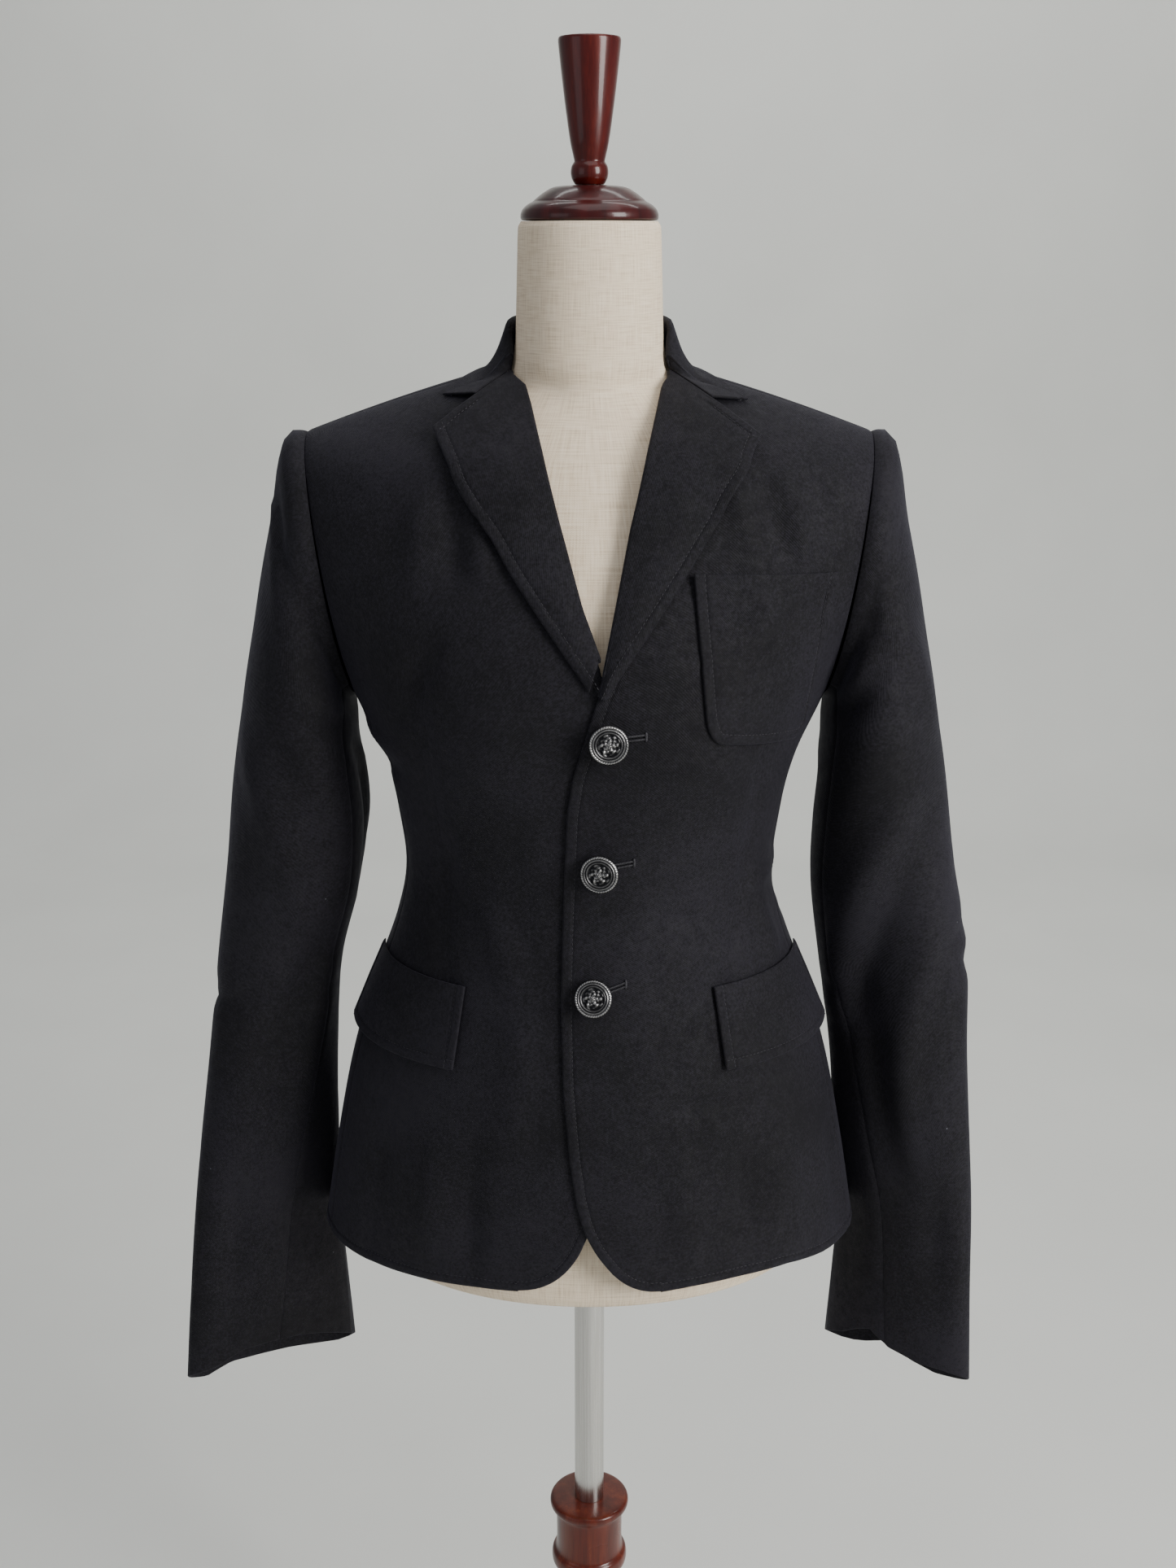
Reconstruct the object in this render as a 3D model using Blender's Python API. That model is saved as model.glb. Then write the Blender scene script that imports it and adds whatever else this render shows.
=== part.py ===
"""A fitted cloth blazer on a limbless dress form with a turned wooden stand.

Units are metres and +Z is up. The blazer faces -Y and the wearer's left is +X.
Every cut piece of the blazer is a thin wall of its own, parted from its neighbours by a seam gap.
The body of the blazer is one smooth surface. It is described by rows that run round the figure,
from the hem up the front, over the shoulder seam and down the back. Each piece takes its part of it.
"""
import math
from collections import namedtuple

import bmesh
import bpy
import numpy as np

# Cloth and seams
WALL = 0.0016
GAP = 0.0003
LAY = 0.0007
SEAM_INSET = 0.00028
UNDERARM_INSET = 2.0
SHOULDER_INSET = 0.006

# Armhole, an upright ellipse that leans outwards towards the shoulder tip
ARMHOLE_BOTTOM_Z = 1.105
ARMHOLE_TOP_Z = 1.280
ARMHOLE_BOTTOM_X = 0.158
ARMHOLE_TOP_X = 0.187
ARMHOLE_FRONT = 0.055
ARMHOLE_BACK = 0.058
FRONT_SEAM_TOP = 38.0
BACK_SEAM_TOP = 52.0

# Rows below the armhole are ellipses: heights at the front, side and back, half width, depths,
# and the angles from the centre front at which the side panel begins and ends.
Low = namedtuple("Low", "name front_z side_z back_z half_width front back seam_front seam_back")
LOW_ROWS = (
    Low("hem", 0.706, 0.699, 0.700, 0.1970, 0.1240, 0.124, 76.0, 112.0),
    Low("skirt", 0.766, 0.762, 0.763, 0.1865, 0.1240, 0.122, 76.5, 112.0),
    Low("hip", 0.834, 0.831, 0.832, 0.1725, 0.1210, 0.117, 77.0, 111.0),
    Low("high hip", 0.893, 0.889, 0.891, 0.1555, 0.1150, 0.104, 78.0, 110.0),
    Low("waistline", 0.945, 0.943, 0.944, 0.1360, 0.1085, 0.089, 79.0, 109.0),
    Low("waist", 0.985, 0.984, 0.985, 0.1285, 0.1070, 0.083, 78.0, 109.0),
    Low("ribs", 1.032, 1.030, 1.031, 0.1345, 0.1130, 0.089, 74.0, 110.0),
    Low("bust", 1.078, 1.074, 1.077, 0.1465, 0.1215, 0.101, 72.0, 112.0),
    Low("underarm", 1.128, 1.123, 1.132, 0.1680, 0.1245, 0.109, 73.5, 114.0),
)

# Rows that end at the armhole: the angle round the armhole from its lowest point,
# the point at the centre, and the angle of arc that the row bends through.
High = namedtuple("High", "name angle centre_y centre_z arc")
FRONT_HIGH_ROWS = (
    High("chest", 75.0, -0.1195, 1.168, 68.0),
    High("upper chest", 108.0, -0.1040, 1.222, 60.0),
    High("collarbone", 143.0, -0.0800, 1.277, 50.0),
)
BACK_HIGH_ROWS = (
    High("shoulder blade", 82.0, 0.1090, 1.178, 62.0),
    High("upper back", 112.0, 0.0985, 1.238, 56.0),
    High("nape", 146.0, 0.0700, 1.304, 50.0),
)
SHOULDER_ROW = High("shoulder seam", 180.0, 0.0, 1.3315, 45.0)
SLOPE_POWER = 1.35
SIDE_BLEND = 2.6
ROW_HEIGHT = 0.06

# Bust fullness
BUST_RISE = 0.010
BUST_X = 0.080
BUST_Z = 1.092
BUST_SPREAD_X = 0.046
BUST_SPREAD_Z = 0.062

# Fronts. The wearer's left front laps over the right one.
BREAK_Z = 1.149
NECK_HALF = 0.0560
NECK_Z = 1.3215
NECK_BACK = 0.0525
LAP_LIFT = WALL + 0.0009
LAP_FULL_X = 0.028
LAP_FADE_X = 0.075
LAP_TOP_RISE = 0.012
LAP_TOP_FADE = 0.05
CORNER_HEIGHT = 0.058
CORNER_WIDTH = 0.048

# Finding a place on the body by halving
HALVINGS = 40
EDGE_SEARCH_FROM = -0.4
EDGE_SEARCH_TO = 0.9


def radians(value):
    """Degrees to radians, for numbers and arrays."""
    return np.asarray(value, float) * math.pi / 180.0


def smoothstep(value):
    """An S-shaped rise from 0 to 1."""
    value = np.clip(value, 0.0, 1.0)
    return value * value * (3.0 - 2.0 * value)


def smooth_rows(table, at):
    """Values of a table of rows at fractional row numbers, on a smooth curve through the rows."""
    table = np.asarray(table, float)
    at = np.asarray(at, float)
    last = len(table) - 1
    first = np.clip(np.floor(at).astype(int), 0, last - 1)
    part = (at - first)[..., None]
    before = table[np.maximum(first - 1, 0)]
    start = table[first]
    end = table[first + 1]
    after = table[np.minimum(first + 2, last)]
    slope_start = (end - before) / 2.0
    slope_end = (after - start) / 2.0
    return ((2 * part ** 3 - 3 * part ** 2 + 1) * start + (part ** 3 - 2 * part ** 2 + part) * slope_start
            + (3 * part ** 2 - 2 * part ** 3) * end + (part ** 3 - part ** 2) * slope_end)


def armhole_point(angle, depth):
    """The armhole at an angle in degrees from its lowest point; depth is signed, front negative."""
    turn = radians(angle)
    middle = (ARMHOLE_BOTTOM_Z + ARMHOLE_TOP_Z) / 2
    z = middle - (ARMHOLE_TOP_Z - ARMHOLE_BOTTOM_Z) / 2 * np.cos(turn)
    lean = (ARMHOLE_TOP_X - ARMHOLE_BOTTOM_X) / (ARMHOLE_TOP_Z - ARMHOLE_BOTTOM_Z)
    x = ARMHOLE_BOTTOM_X + lean * (z - ARMHOLE_BOTTOM_Z)
    return np.stack([x, depth * np.sin(turn), z], axis=-1)


def low_line(row, front):
    """Centre y and z, end x, y and z and arc of a row below the armhole."""
    if front:
        angle = row.seam_front
        depth = -row.front
        centre_z = row.front_z
    else:
        angle = 180.0 - row.seam_back
        depth = row.back
        centre_z = row.back_z
    turn = math.radians(angle)
    drop = (row.side_z - centre_z) * math.sin(turn) ** SLOPE_POWER
    return [depth, centre_z, row.half_width * math.sin(turn), depth * math.cos(turn), centre_z + drop, angle]


def high_line(row, depth):
    """The same values for a row that ends at the armhole."""
    end = armhole_point(row.angle, depth)
    return [row.centre_y, row.centre_z, end[0], end[1], end[2], row.arc]


def joint_line(row, front):
    """The row at which the side seam meets the armhole."""
    line = low_line(row, front)
    if front:
        line[2:5] = armhole_point(FRONT_SEAM_TOP, -ARMHOLE_FRONT)
    else:
        line[2:5] = armhole_point(BACK_SEAM_TOP, ARMHOLE_BACK)
    return line


def body_lines():
    """All rows, from the front hem over the shoulder seam to the back hem."""
    lines = [low_line(row, True) for row in LOW_ROWS[:-1]]
    lines.append(joint_line(LOW_ROWS[-1], True))
    lines += [high_line(row, -ARMHOLE_FRONT) for row in FRONT_HIGH_ROWS]
    lines.append(high_line(SHOULDER_ROW, 0.0))
    lines += [high_line(row, ARMHOLE_BACK) for row in reversed(BACK_HIGH_ROWS)]
    lines.append(joint_line(LOW_ROWS[-1], False))
    lines += [low_line(row, False) for row in reversed(LOW_ROWS[:-1])]
    return np.array(lines)


BODY = body_lines()
JOINT = len(LOW_ROWS) - 1
SHOULDER = JOINT + len(FRONT_HIGH_ROWS) + 1
BACK_JOINT = SHOULDER + len(BACK_HIGH_ROWS) + 1
BACK_HEM = BACK_JOINT + JOINT


def body_point(across, row):
    """A point of the body surface: across is 0 at the centre and 1 at the seam or armhole."""
    across = np.asarray(across, float)
    centre_y, centre_z, end_x, end_y, end_z, arc = np.moveaxis(smooth_rows(BODY, row), -1, 0)
    arc = radians(arc)
    share = np.sin(arc * across) / np.sin(arc)
    x = end_x * share
    bend = (1 - np.cos(arc * across)) / (1 - np.cos(arc))
    y = centre_y + (end_y - centre_y) * bend
    z = centre_z + (end_z - centre_z) * np.abs(share) ** SLOPE_POWER
    fullness = np.exp(-((np.abs(x) - BUST_X) / BUST_SPREAD_X) ** 2 - ((z - BUST_Z) / BUST_SPREAD_Z) ** 2)
    at_front = np.asarray(row) < SHOULDER
    y = y - np.where(at_front, BUST_RISE * fullness * (1 - across ** 4), 0.0)
    return np.stack([x, y, z], axis=-1)


def surface_normal(surface, first, second):
    """Unit normal of a surface function of two values, from small steps to both sides."""
    step = 1e-3
    first = np.asarray(first, float)
    second = np.asarray(second, float)
    along_first = surface(first + step, second) - surface(first - step, second)
    along_second = surface(first, second + step) - surface(first, second - step)
    normal = np.cross(along_first, along_second)
    return normal / np.linalg.norm(normal, axis=-1, keepdims=True)


def across_at_x(x, row):
    """The across value of a given x in a row."""
    line = smooth_rows(BODY, row)
    arc = radians(line[..., 5])
    return np.arcsin(np.clip(x * np.sin(arc) / line[..., 2], -1.0, 1.0)) / arc


def front_place(x, z):
    """Across and row values of the front surface seen from the front at x and z."""
    x = np.asarray(x, float)
    z = np.asarray(z, float)
    low = np.zeros(np.broadcast(x, z).shape)
    high = np.full_like(low, float(SHOULDER))
    for _ in range(HALVINGS):
        middle = (low + high) / 2
        below = body_point(across_at_x(x, middle), middle)[..., 2] < z
        low = np.where(below, middle, low)
        high = np.where(below, high, middle)
    row = (low + high) / 2
    return across_at_x(x, row), row


def top_place(x, y):
    """Across and row values of the body surface seen from above at x and y, near the shoulders."""
    x = np.asarray(x, float)
    y = np.asarray(y, float)
    low = np.full(np.broadcast(x, y).shape, float(JOINT + 1))
    high = np.full_like(low, float(BACK_JOINT - 1))
    for _ in range(HALVINGS):
        middle = (low + high) / 2
        before = body_point(across_at_x(x, middle), middle)[..., 1] < y
        low = np.where(before, middle, low)
        high = np.where(before, high, middle)
    row = (low + high) / 2
    return across_at_x(x, row), row


def lap_lift(x, z):
    """How far the upper front is raised where it lies over the lower one."""
    near = 1 - smoothstep((x - LAP_FULL_X) / (LAP_FADE_X - LAP_FULL_X))
    below_break = 1 - smoothstep((z - BREAK_Z - LAP_TOP_RISE) / LAP_TOP_FADE)
    return LAP_LIFT * near * below_break


def front_surface(side):
    """The front of one side as a function of across and row, with its lap. side is 1 for the left."""
    def surface(across, row):
        point = body_point(across, row)
        if side > 0:
            normal = surface_normal(body_point, across, row)
            point = point + normal * lap_lift(point[..., 0], point[..., 2])[..., None]
        return point
    return surface


def low_values(row):
    """Side height, half width, depths, seam angles and centre heights at a row below the armhole."""
    table = [[r.side_z, r.half_width, r.front, r.back, r.seam_front, r.seam_back, r.front_z, r.back_z]
             for r in LOW_ROWS]
    return np.moveaxis(smooth_rows(table, row), -1, 0)


def ring_point(angle, row):
    """The body below the armhole at an angle in degrees from the centre front."""
    side_z, half, front, back, _, _, front_z, back_z = low_values(row)
    angle = radians(angle)
    at_front = np.cos(angle) > 0
    depth = np.where(at_front, front, back)
    centre_z = np.where(at_front, front_z, back_z)
    sine = np.sin(angle)
    return np.stack([half * sine, -depth * np.cos(angle), centre_z + (side_z - centre_z) * sine ** SLOPE_POWER],
                    axis=-1)


def side_point(across, row):
    """The side panel: across is -1 at its front seam and 1 at its back seam."""
    across = np.asarray(across, float)
    row = np.asarray(row, float)
    share = ((across + 1) / 2)[..., None]
    lower = seam_ring(share, row)
    top_row = np.full_like(lower[..., 0], JOINT)
    turn = -FRONT_SEAM_TOP + (FRONT_SEAM_TOP + BACK_SEAM_TOP) * share[..., 0]
    armhole = armhole_point(turn, np.where(turn < 0, ARMHOLE_FRONT, ARMHOLE_BACK))
    rise = smoothstep((row - JOINT + SIDE_BLEND) / SIDE_BLEND)
    return lower + (armhole - seam_ring(share, top_row)) * np.asarray(rise)[..., None]


def seam_ring(share, row):
    """The ring between the side seams, moved so that it meets both of them."""
    _, _, _, _, seam_front, seam_back, _, _ = low_values(row)
    angle = seam_front + (seam_back - seam_front) * share[..., 0]
    front_error = body_point(np.ones_like(row), row) - ring_point(seam_front, row)
    back_error = body_point(np.ones_like(row), BACK_HEM - row) - ring_point(seam_back, row)
    return ring_point(angle, row) + front_error * (1 - share) + back_error * share


# The front edge of the upper (left) front and of the lower (right) one, as seen from the front:
# x towards the piece's own side, by height.
Edge = namedtuple("Edge", "z left right")
FRONT_EDGE = (
    Edge(0.690, 0.0010, 0.0015),
    Edge(0.729, 0.0010, 0.0014),
    Edge(0.746, -0.0018, 0.0008),
    Edge(0.777, -0.0090, -0.0070),
    Edge(0.810, -0.0135, -0.0140),
    Edge(0.860, -0.0175, -0.0190),
    Edge(0.920, -0.0187, -0.0200),
    Edge(0.990, -0.0168, -0.0200),
    Edge(1.053, -0.0144, -0.0195),
    Edge(1.077, -0.0110, -0.0185),
    Edge(1.098, -0.0048, -0.0170),
    Edge(1.130, 0.0053, -0.0130),
    Edge(BREAK_Z, 0.0088, -0.0088),
    Edge(1.184, 0.0158, 0.0043),
    Edge(1.232, 0.0253, 0.0178),
    Edge(1.274, 0.0356, 0.0290),
    Edge(1.301, 0.0431, 0.0368),
    Edge(1.311, 0.0460, 0.0405),
    Edge(NECK_Z, NECK_HALF, NECK_HALF),
)


def front_edge_x(side, z):
    """The edge of a front at a height: the roll of the lapel above the break, the rounded corner below."""
    heights = [edge.z for edge in FRONT_EDGE]
    offsets = [edge.left if side > 0 else edge.right for edge in FRONT_EDGE]
    x = np.interp(z, heights, offsets)
    rise = np.clip((z - LOW_ROWS[0].front_z) / CORNER_HEIGHT, 0.0, 1.0)
    return x + CORNER_WIDTH * (1 - np.sqrt(1 - (1 - rise) ** 2))


def front_edge_across(side, row):
    """Where each row of a front begins, found by halving."""
    low = np.full(np.shape(row), EDGE_SEARCH_FROM)
    high = np.full(np.shape(row), EDGE_SEARCH_TO)
    for _ in range(HALVINGS):
        middle = (low + high) / 2
        point = body_point(middle, row)
        outside = point[..., 0] < front_edge_x(side, point[..., 2])
        low = np.where(outside, middle, low)
        high = np.where(outside, high, middle)
    return high


def back_edge_across(row):
    """Where each row of a back begins: the centre seam, or the neckline near the top."""
    low = across_at_x(GAP / 2, row)
    high = np.full(np.shape(row), EDGE_SEARCH_TO)
    for _ in range(HALVINGS):
        middle = (low + high) / 2
        point = body_point(middle, row)
        inside = (point[..., 0] / NECK_HALF) ** 2 + (point[..., 1] / NECK_BACK) ** 2 < 1
        low = np.where(inside, middle, low)
        high = np.where(inside, high, middle)
    start = across_at_x(GAP / 2, row)
    point = body_point(start, row)
    clear = (point[..., 0] / NECK_HALF) ** 2 + (point[..., 1] / NECK_BACK) ** 2 >= 1
    return np.where(clear, start, high)


def seam_inset(row):
    """Half the gap of a side seam, wider under the arm where the two walls meet at an angle."""
    from_joint = np.minimum(np.abs(row - JOINT), np.abs(row - BACK_JOINT))
    return SEAM_INSET * (1 + UNDERARM_INSET * (1 - smoothstep(from_joint / 1.5)))


def seam_across(row):
    """The across value that stops a little short of the side seam or armhole."""
    length = np.linalg.norm(body_point(1.0, row) - body_point(0.99, row), axis=-1) * 100
    return 1 - seam_inset(row) / length


# Building meshes
def new_material(name, colour, roughness, metallic=0.0):
    """A Principled material."""
    material = bpy.data.materials.new(name)
    material.use_nodes = True
    shader = material.node_tree.nodes["Principled BSDF"]
    shader.inputs["Base Color"].default_value = (*colour, 1.0)
    shader.inputs["Roughness"].default_value = roughness
    shader.inputs["Metallic"].default_value = metallic
    material.diffuse_color = (*colour, 1.0)
    return material


def add_object(name, mesh, material):
    """Link a mesh as an object with its own copy of a material."""
    mesh.materials.append(material)
    mesh.shade_smooth()
    mesh.set_sharp_from_angle(angle=math.radians(40))
    thing = bpy.data.objects.new(name, mesh)
    bpy.context.scene.collection.objects.link(thing)
    return thing


def grid_mesh(name, points, flip):
    """An open sheet of quads through a grid of points."""
    rows, columns = points.shape[:2]
    mesh = bmesh.new()
    verts = [[mesh.verts.new(point) for point in line] for line in points]
    for i in range(rows - 1):
        for j in range(columns - 1):
            corners = [verts[i][j], verts[i][j + 1], verts[i + 1][j + 1], verts[i + 1][j]]
            if flip:
                corners.reverse()
            mesh.faces.new(corners)
    data = bpy.data.meshes.new(name)
    mesh.to_mesh(data)
    mesh.free()
    return data


def cloth(name, points, material, side=1, outward=1.0):
    """A cloth wall on a grid of points; side -1 mirrors it to the wearer's right."""
    points = points * np.array([side, 1.0, 1.0])
    thing = add_object(name, grid_mesh(name, points, side < 0), material)
    thicken = thing.modifiers.new("Cloth wall", "SOLIDIFY")
    thicken.thickness = WALL
    thicken.offset = outward
    thicken.use_even_offset = True
    thicken.use_rim = True
    return thing


def turned(name, profile, material, segments):
    """A solid turned about a vertical axis from a profile of radius and height, top first."""
    mesh = bmesh.new()
    rings = []
    for radius, z in profile:
        if radius <= 0:
            rings.append([mesh.verts.new((0.0, 0.0, z))])
            continue
        ring = []
        for k in range(segments):
            turn = 2 * math.pi * k / segments
            ring.append(mesh.verts.new((radius * math.cos(turn), radius * math.sin(turn), z)))
        rings.append(ring)
    join_rings(mesh, rings)
    data = bpy.data.meshes.new(name)
    mesh.to_mesh(data)
    mesh.free()
    return add_object(name, data, material)


def join_rings(mesh, rings):
    """Faces between rings of points listed from the top down; a ring of one point closes an end."""
    for upper, lower in zip(rings, rings[1:]):
        count = max(len(upper), len(lower))
        for k in range(count):
            following = (k + 1) % count
            if len(upper) == 1:
                mesh.faces.new([upper[0], lower[k], lower[following]])
            elif len(lower) == 1:
                mesh.faces.new([upper[k], lower[0], upper[following]])
            else:
                mesh.faces.new([upper[k], lower[k], lower[following], upper[following]])


# The body panels
FRONT_ROWS = (0.0, 0.04, 0.12, 0.26, 0.50, 0.90, 1.4, 2.0, 2.5, 3.0, 3.5, 4.0, 4.5, 5.0, 5.6, 6.2, 6.7,
              7.2, 7.7, 8.2, 8.8, 9.4, 10.0, 10.5, 11.0, 11.35, 11.7, 12.0)
FRONT_COLUMNS = 10
BACK_ROWS = (12.0, 12.2, 12.4, 12.55, 12.65, 12.75, 13.1, 13.6, 14.2, 14.8, 15.4, 16.0, 16.6, 17.2, 17.8,
             18.4, 19.0, 19.6, 20.2, 21.0, 22.0, 23.0, 24.0)
BACK_COLUMNS = 7
SIDE_ROWS = (0.0, 1.0, 2.0, 2.8, 3.5, 4.0, 4.5, 5.0, 5.5, 6.0, 6.4, 6.8, 7.2, 7.6, 8.0)
SIDE_COLUMNS = 4


def front_panel(name, side, material):
    """One front, from its edge to the side seam and armhole, and up to the shoulder seam."""
    row = np.array(FRONT_ROWS)
    row[-1] -= SHOULDER_INSET
    start = front_edge_across(side, row)
    end = seam_across(row)
    share = np.linspace(0.0, 1.0, FRONT_COLUMNS + 1)
    across = start[:, None] + (end - start)[:, None] * share[None, :]
    points = front_surface(side)(across, np.repeat(row[:, None], len(share), axis=1))
    return cloth(name, points, material, side)


def back_panel(name, side, material):
    """One back, from the centre seam to the side seam and armhole."""
    row = np.array(BACK_ROWS)
    row[0] += SHOULDER_INSET
    start = back_edge_across(row)
    end = seam_across(row)
    share = np.linspace(0.0, 1.0, BACK_COLUMNS + 1)
    across = start[:, None] + (end - start)[:, None] * share[None, :]
    points = body_point(across, np.repeat(row[:, None], len(share), axis=1))
    return cloth(name, points, material, side)


def side_panel(name, side, material):
    """The panel under the arm, between front and back."""
    row = np.array(SIDE_ROWS)
    width = np.linalg.norm(side_point(1.0, row) - side_point(-1.0, row), axis=-1)
    inset = 2 * seam_inset(row) / width
    share = np.linspace(-1.0, 1.0, SIDE_COLUMNS + 1)
    across = share[None, :] * (1 - inset)[:, None]
    points = side_point(across, np.repeat(row[:, None], len(share), axis=1))
    return cloth(name, points, material, side)


# Sleeves. Each ring is an ellipse: its centre, the tilt of the line from its inner to its outer point,
# how far that line is turned forwards in plan, half its length, half the ring's depth,
# how much higher its front is than its middle, and the angles of the two seams from the outer point.
Ring = namedtuple("Ring", "name x y z tilt turn reach depth rise seam_front seam_back")
LEFT_RINGS = (
    Ring("head", 0.1812, 0.000, 1.1911, 79.2, 0.0, 0.0905, 0.0580, 0.0000, 150.5, 147.0),
    Ring("cap", 0.1852, 0.000, 1.1825, 77.0, 0.0, 0.0850, 0.0580, 0.0000, 150.0, 146.0),
    Ring("upper cap", 0.1885, 0.000, 1.1560, 70.0, 0.0, 0.0700, 0.0600, 0.0000, 148.0, 142.0),
    Ring("armpit", 0.1945, 0.000, 1.1175, 54.0, 0.0, 0.0530, 0.0620, 0.0000, 146.0, 138.0),
    Ring("upper arm", 0.1995, 0.001, 1.0765, 35.0, 3.0, 0.0465, 0.0600, 0.0000, 144.0, 134.0),
    Ring("biceps", 0.2045, 0.003, 1.0270, 21.0, 8.0, 0.0475, 0.0530, 0.0000, 142.0, 130.0),
    Ring("above elbow", 0.2100, 0.006, 0.9700, 12.0, 15.0, 0.0500, 0.0440, 0.0000, 140.0, 126.0),
    Ring("elbow", 0.2213, 0.010, 0.9050, 8.0, 22.0, 0.0530, 0.0370, 0.0000, 134.0, 120.0),
    Ring("below elbow", 0.2290, 0.010, 0.8300, 5.0, 28.0, 0.0505, 0.0340, 0.0000, 118.0, 112.0),
    Ring("forearm", 0.2345, 0.007, 0.7600, 3.0, 31.0, 0.0515, 0.0300, 0.0000, 104.0, 104.0),
    Ring("lower forearm", 0.2410, 0.011, 0.7000, 4.0, 36.0, 0.0525, 0.0255, 0.0020, 96.0, 98.0),
    Ring("above cuff", 0.2402, 0.007, 0.6350, 3.0, 36.0, 0.0560, 0.0230, 0.0060, 92.0, 94.0),
    Ring("cuff", 0.2396, 0.002, 0.5690, 2.0, 35.0, 0.0594, 0.0210, 0.0180, 90.0, 92.0),
)
RIGHT_RINGS = (
    Ring("head", 0.1812, 0.000, 1.1911, 79.2, 0.0, 0.0905, 0.0580, 0.0000, 150.5, 147.0),
    Ring("cap", 0.1852, 0.000, 1.1825, 77.0, 0.0, 0.0850, 0.0580, 0.0000, 150.0, 146.0),
    Ring("upper cap", 0.1885, 0.000, 1.1560, 70.0, 0.0, 0.0700, 0.0600, 0.0000, 148.0, 142.0),
    Ring("armpit", 0.1945, 0.000, 1.1175, 54.0, 0.0, 0.0530, 0.0620, 0.0000, 146.0, 138.0),
    Ring("upper arm", 0.1995, 0.001, 1.0765, 35.0, 3.0, 0.0465, 0.0600, 0.0000, 144.0, 134.0),
    Ring("biceps", 0.2045, 0.003, 1.0270, 21.0, 8.0, 0.0472, 0.0530, 0.0000, 142.0, 130.0),
    Ring("above elbow", 0.2120, 0.006, 0.9700, 12.0, 15.0, 0.0462, 0.0440, 0.0000, 140.0, 126.0),
    Ring("elbow", 0.2255, 0.010, 0.9050, 8.0, 22.0, 0.0435, 0.0370, 0.0000, 134.0, 120.0),
    Ring("below elbow", 0.2340, 0.010, 0.8300, 5.0, 28.0, 0.0465, 0.0340, 0.0000, 118.0, 112.0),
    Ring("forearm", 0.2400, 0.007, 0.7600, 3.0, 31.0, 0.0520, 0.0300, 0.0000, 104.0, 104.0),
    Ring("lower forearm", 0.2448, 0.008, 0.7000, 4.0, 34.0, 0.0570, 0.0255, 0.0020, 96.0, 98.0),
    Ring("above cuff", 0.2463, 0.004, 0.6350, 3.0, 32.0, 0.0622, 0.0225, 0.0060, 92.0, 94.0),
    Ring("cuff", 0.2473, 0.001, 0.5690, 2.0, 28.0, 0.0663, 0.0190, 0.0180, 90.0, 92.0),
)
SLEEVE_HEAD_CLEAR = 0.0011
SLEEVE_ROWS = (0.0, 0.5, 1.0, 1.4, 1.8, 2.3, 2.9, 3.5, 4.1, 4.7, 5.3, 5.9, 6.5, 7.1, 7.7, 8.3, 9.0, 10.0, 11.0,
               12.0, 13.0)
TOP_SLEEVE_COLUMNS = 11
UNDER_SLEEVE_COLUMNS = 6


def armhole_ring():
    """The sleeve's first ring, in line with the armhole."""
    half_height = (ARMHOLE_TOP_Z - ARMHOLE_BOTTOM_Z) / 2
    half_lean = (ARMHOLE_TOP_X - ARMHOLE_BOTTOM_X) / 2
    tilt = math.degrees(math.atan2(half_height, half_lean))
    return Ring("armhole", ARMHOLE_BOTTOM_X + half_lean, 0.0, ARMHOLE_BOTTOM_Z + half_height, tilt,
                0.0, math.hypot(half_height, half_lean), (ARMHOLE_FRONT + ARMHOLE_BACK) / 2, 0.0, 151.0, 148.0)


def sleeve_surface(rings):
    """A sleeve as a function of the angle in degrees from the outer point and of the ring number."""
    table = [ring[1:] for ring in (armhole_ring(), *rings)]

    def surface(angle, ring):
        angle = np.asarray(angle, float)
        ring = np.asarray(ring, float)
        x, y, z, tilt, turn, reach, depth, rise, _, _ = np.moveaxis(smooth_rows(table, ring), -1, 0)
        angle = radians(angle)
        tilt = radians(tilt)
        turn = radians(turn)
        outward = reach * np.cos(angle)
        forward = depth * np.sin(angle)
        head = np.clip(1 - ring, 0.0, 1.0)
        clear = head * (SLEEVE_HEAD_CLEAR + WALL * (1 - np.cos(angle)))
        level = outward * np.cos(tilt)
        return np.stack([x + level * np.cos(turn) - forward * np.sin(turn) + clear * np.sin(tilt),
                         y - level * np.sin(turn) - forward * np.cos(turn),
                         z + outward * np.sin(tilt) - clear * np.cos(tilt) + rise * np.sin(angle)], axis=-1)
    return surface, table


def sleeve_piece(name, side, rings, top, material):
    """The top sleeve or the under sleeve, between the two sleeve seams."""
    surface, table = sleeve_surface(rings)
    ring = np.array(SLEEVE_ROWS)
    values = smooth_rows(table, ring)
    seam_front = values[:, 8]
    seam_back = -values[:, 9]
    inset = np.degrees(GAP * 0.75 / values[:, 5])
    if top:
        start = seam_back + inset
        end = seam_front - inset
        columns = TOP_SLEEVE_COLUMNS
    else:
        start = seam_front + inset
        end = 360 + seam_back - inset
        columns = UNDER_SLEEVE_COLUMNS
    share = np.linspace(0.0, 1.0, columns + 1)
    angle = start[:, None] + (end - start)[:, None] * share[None, :]
    points = surface(angle, np.repeat(ring[:, None], len(share), axis=1))
    return cloth(name, points, material, side)


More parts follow.
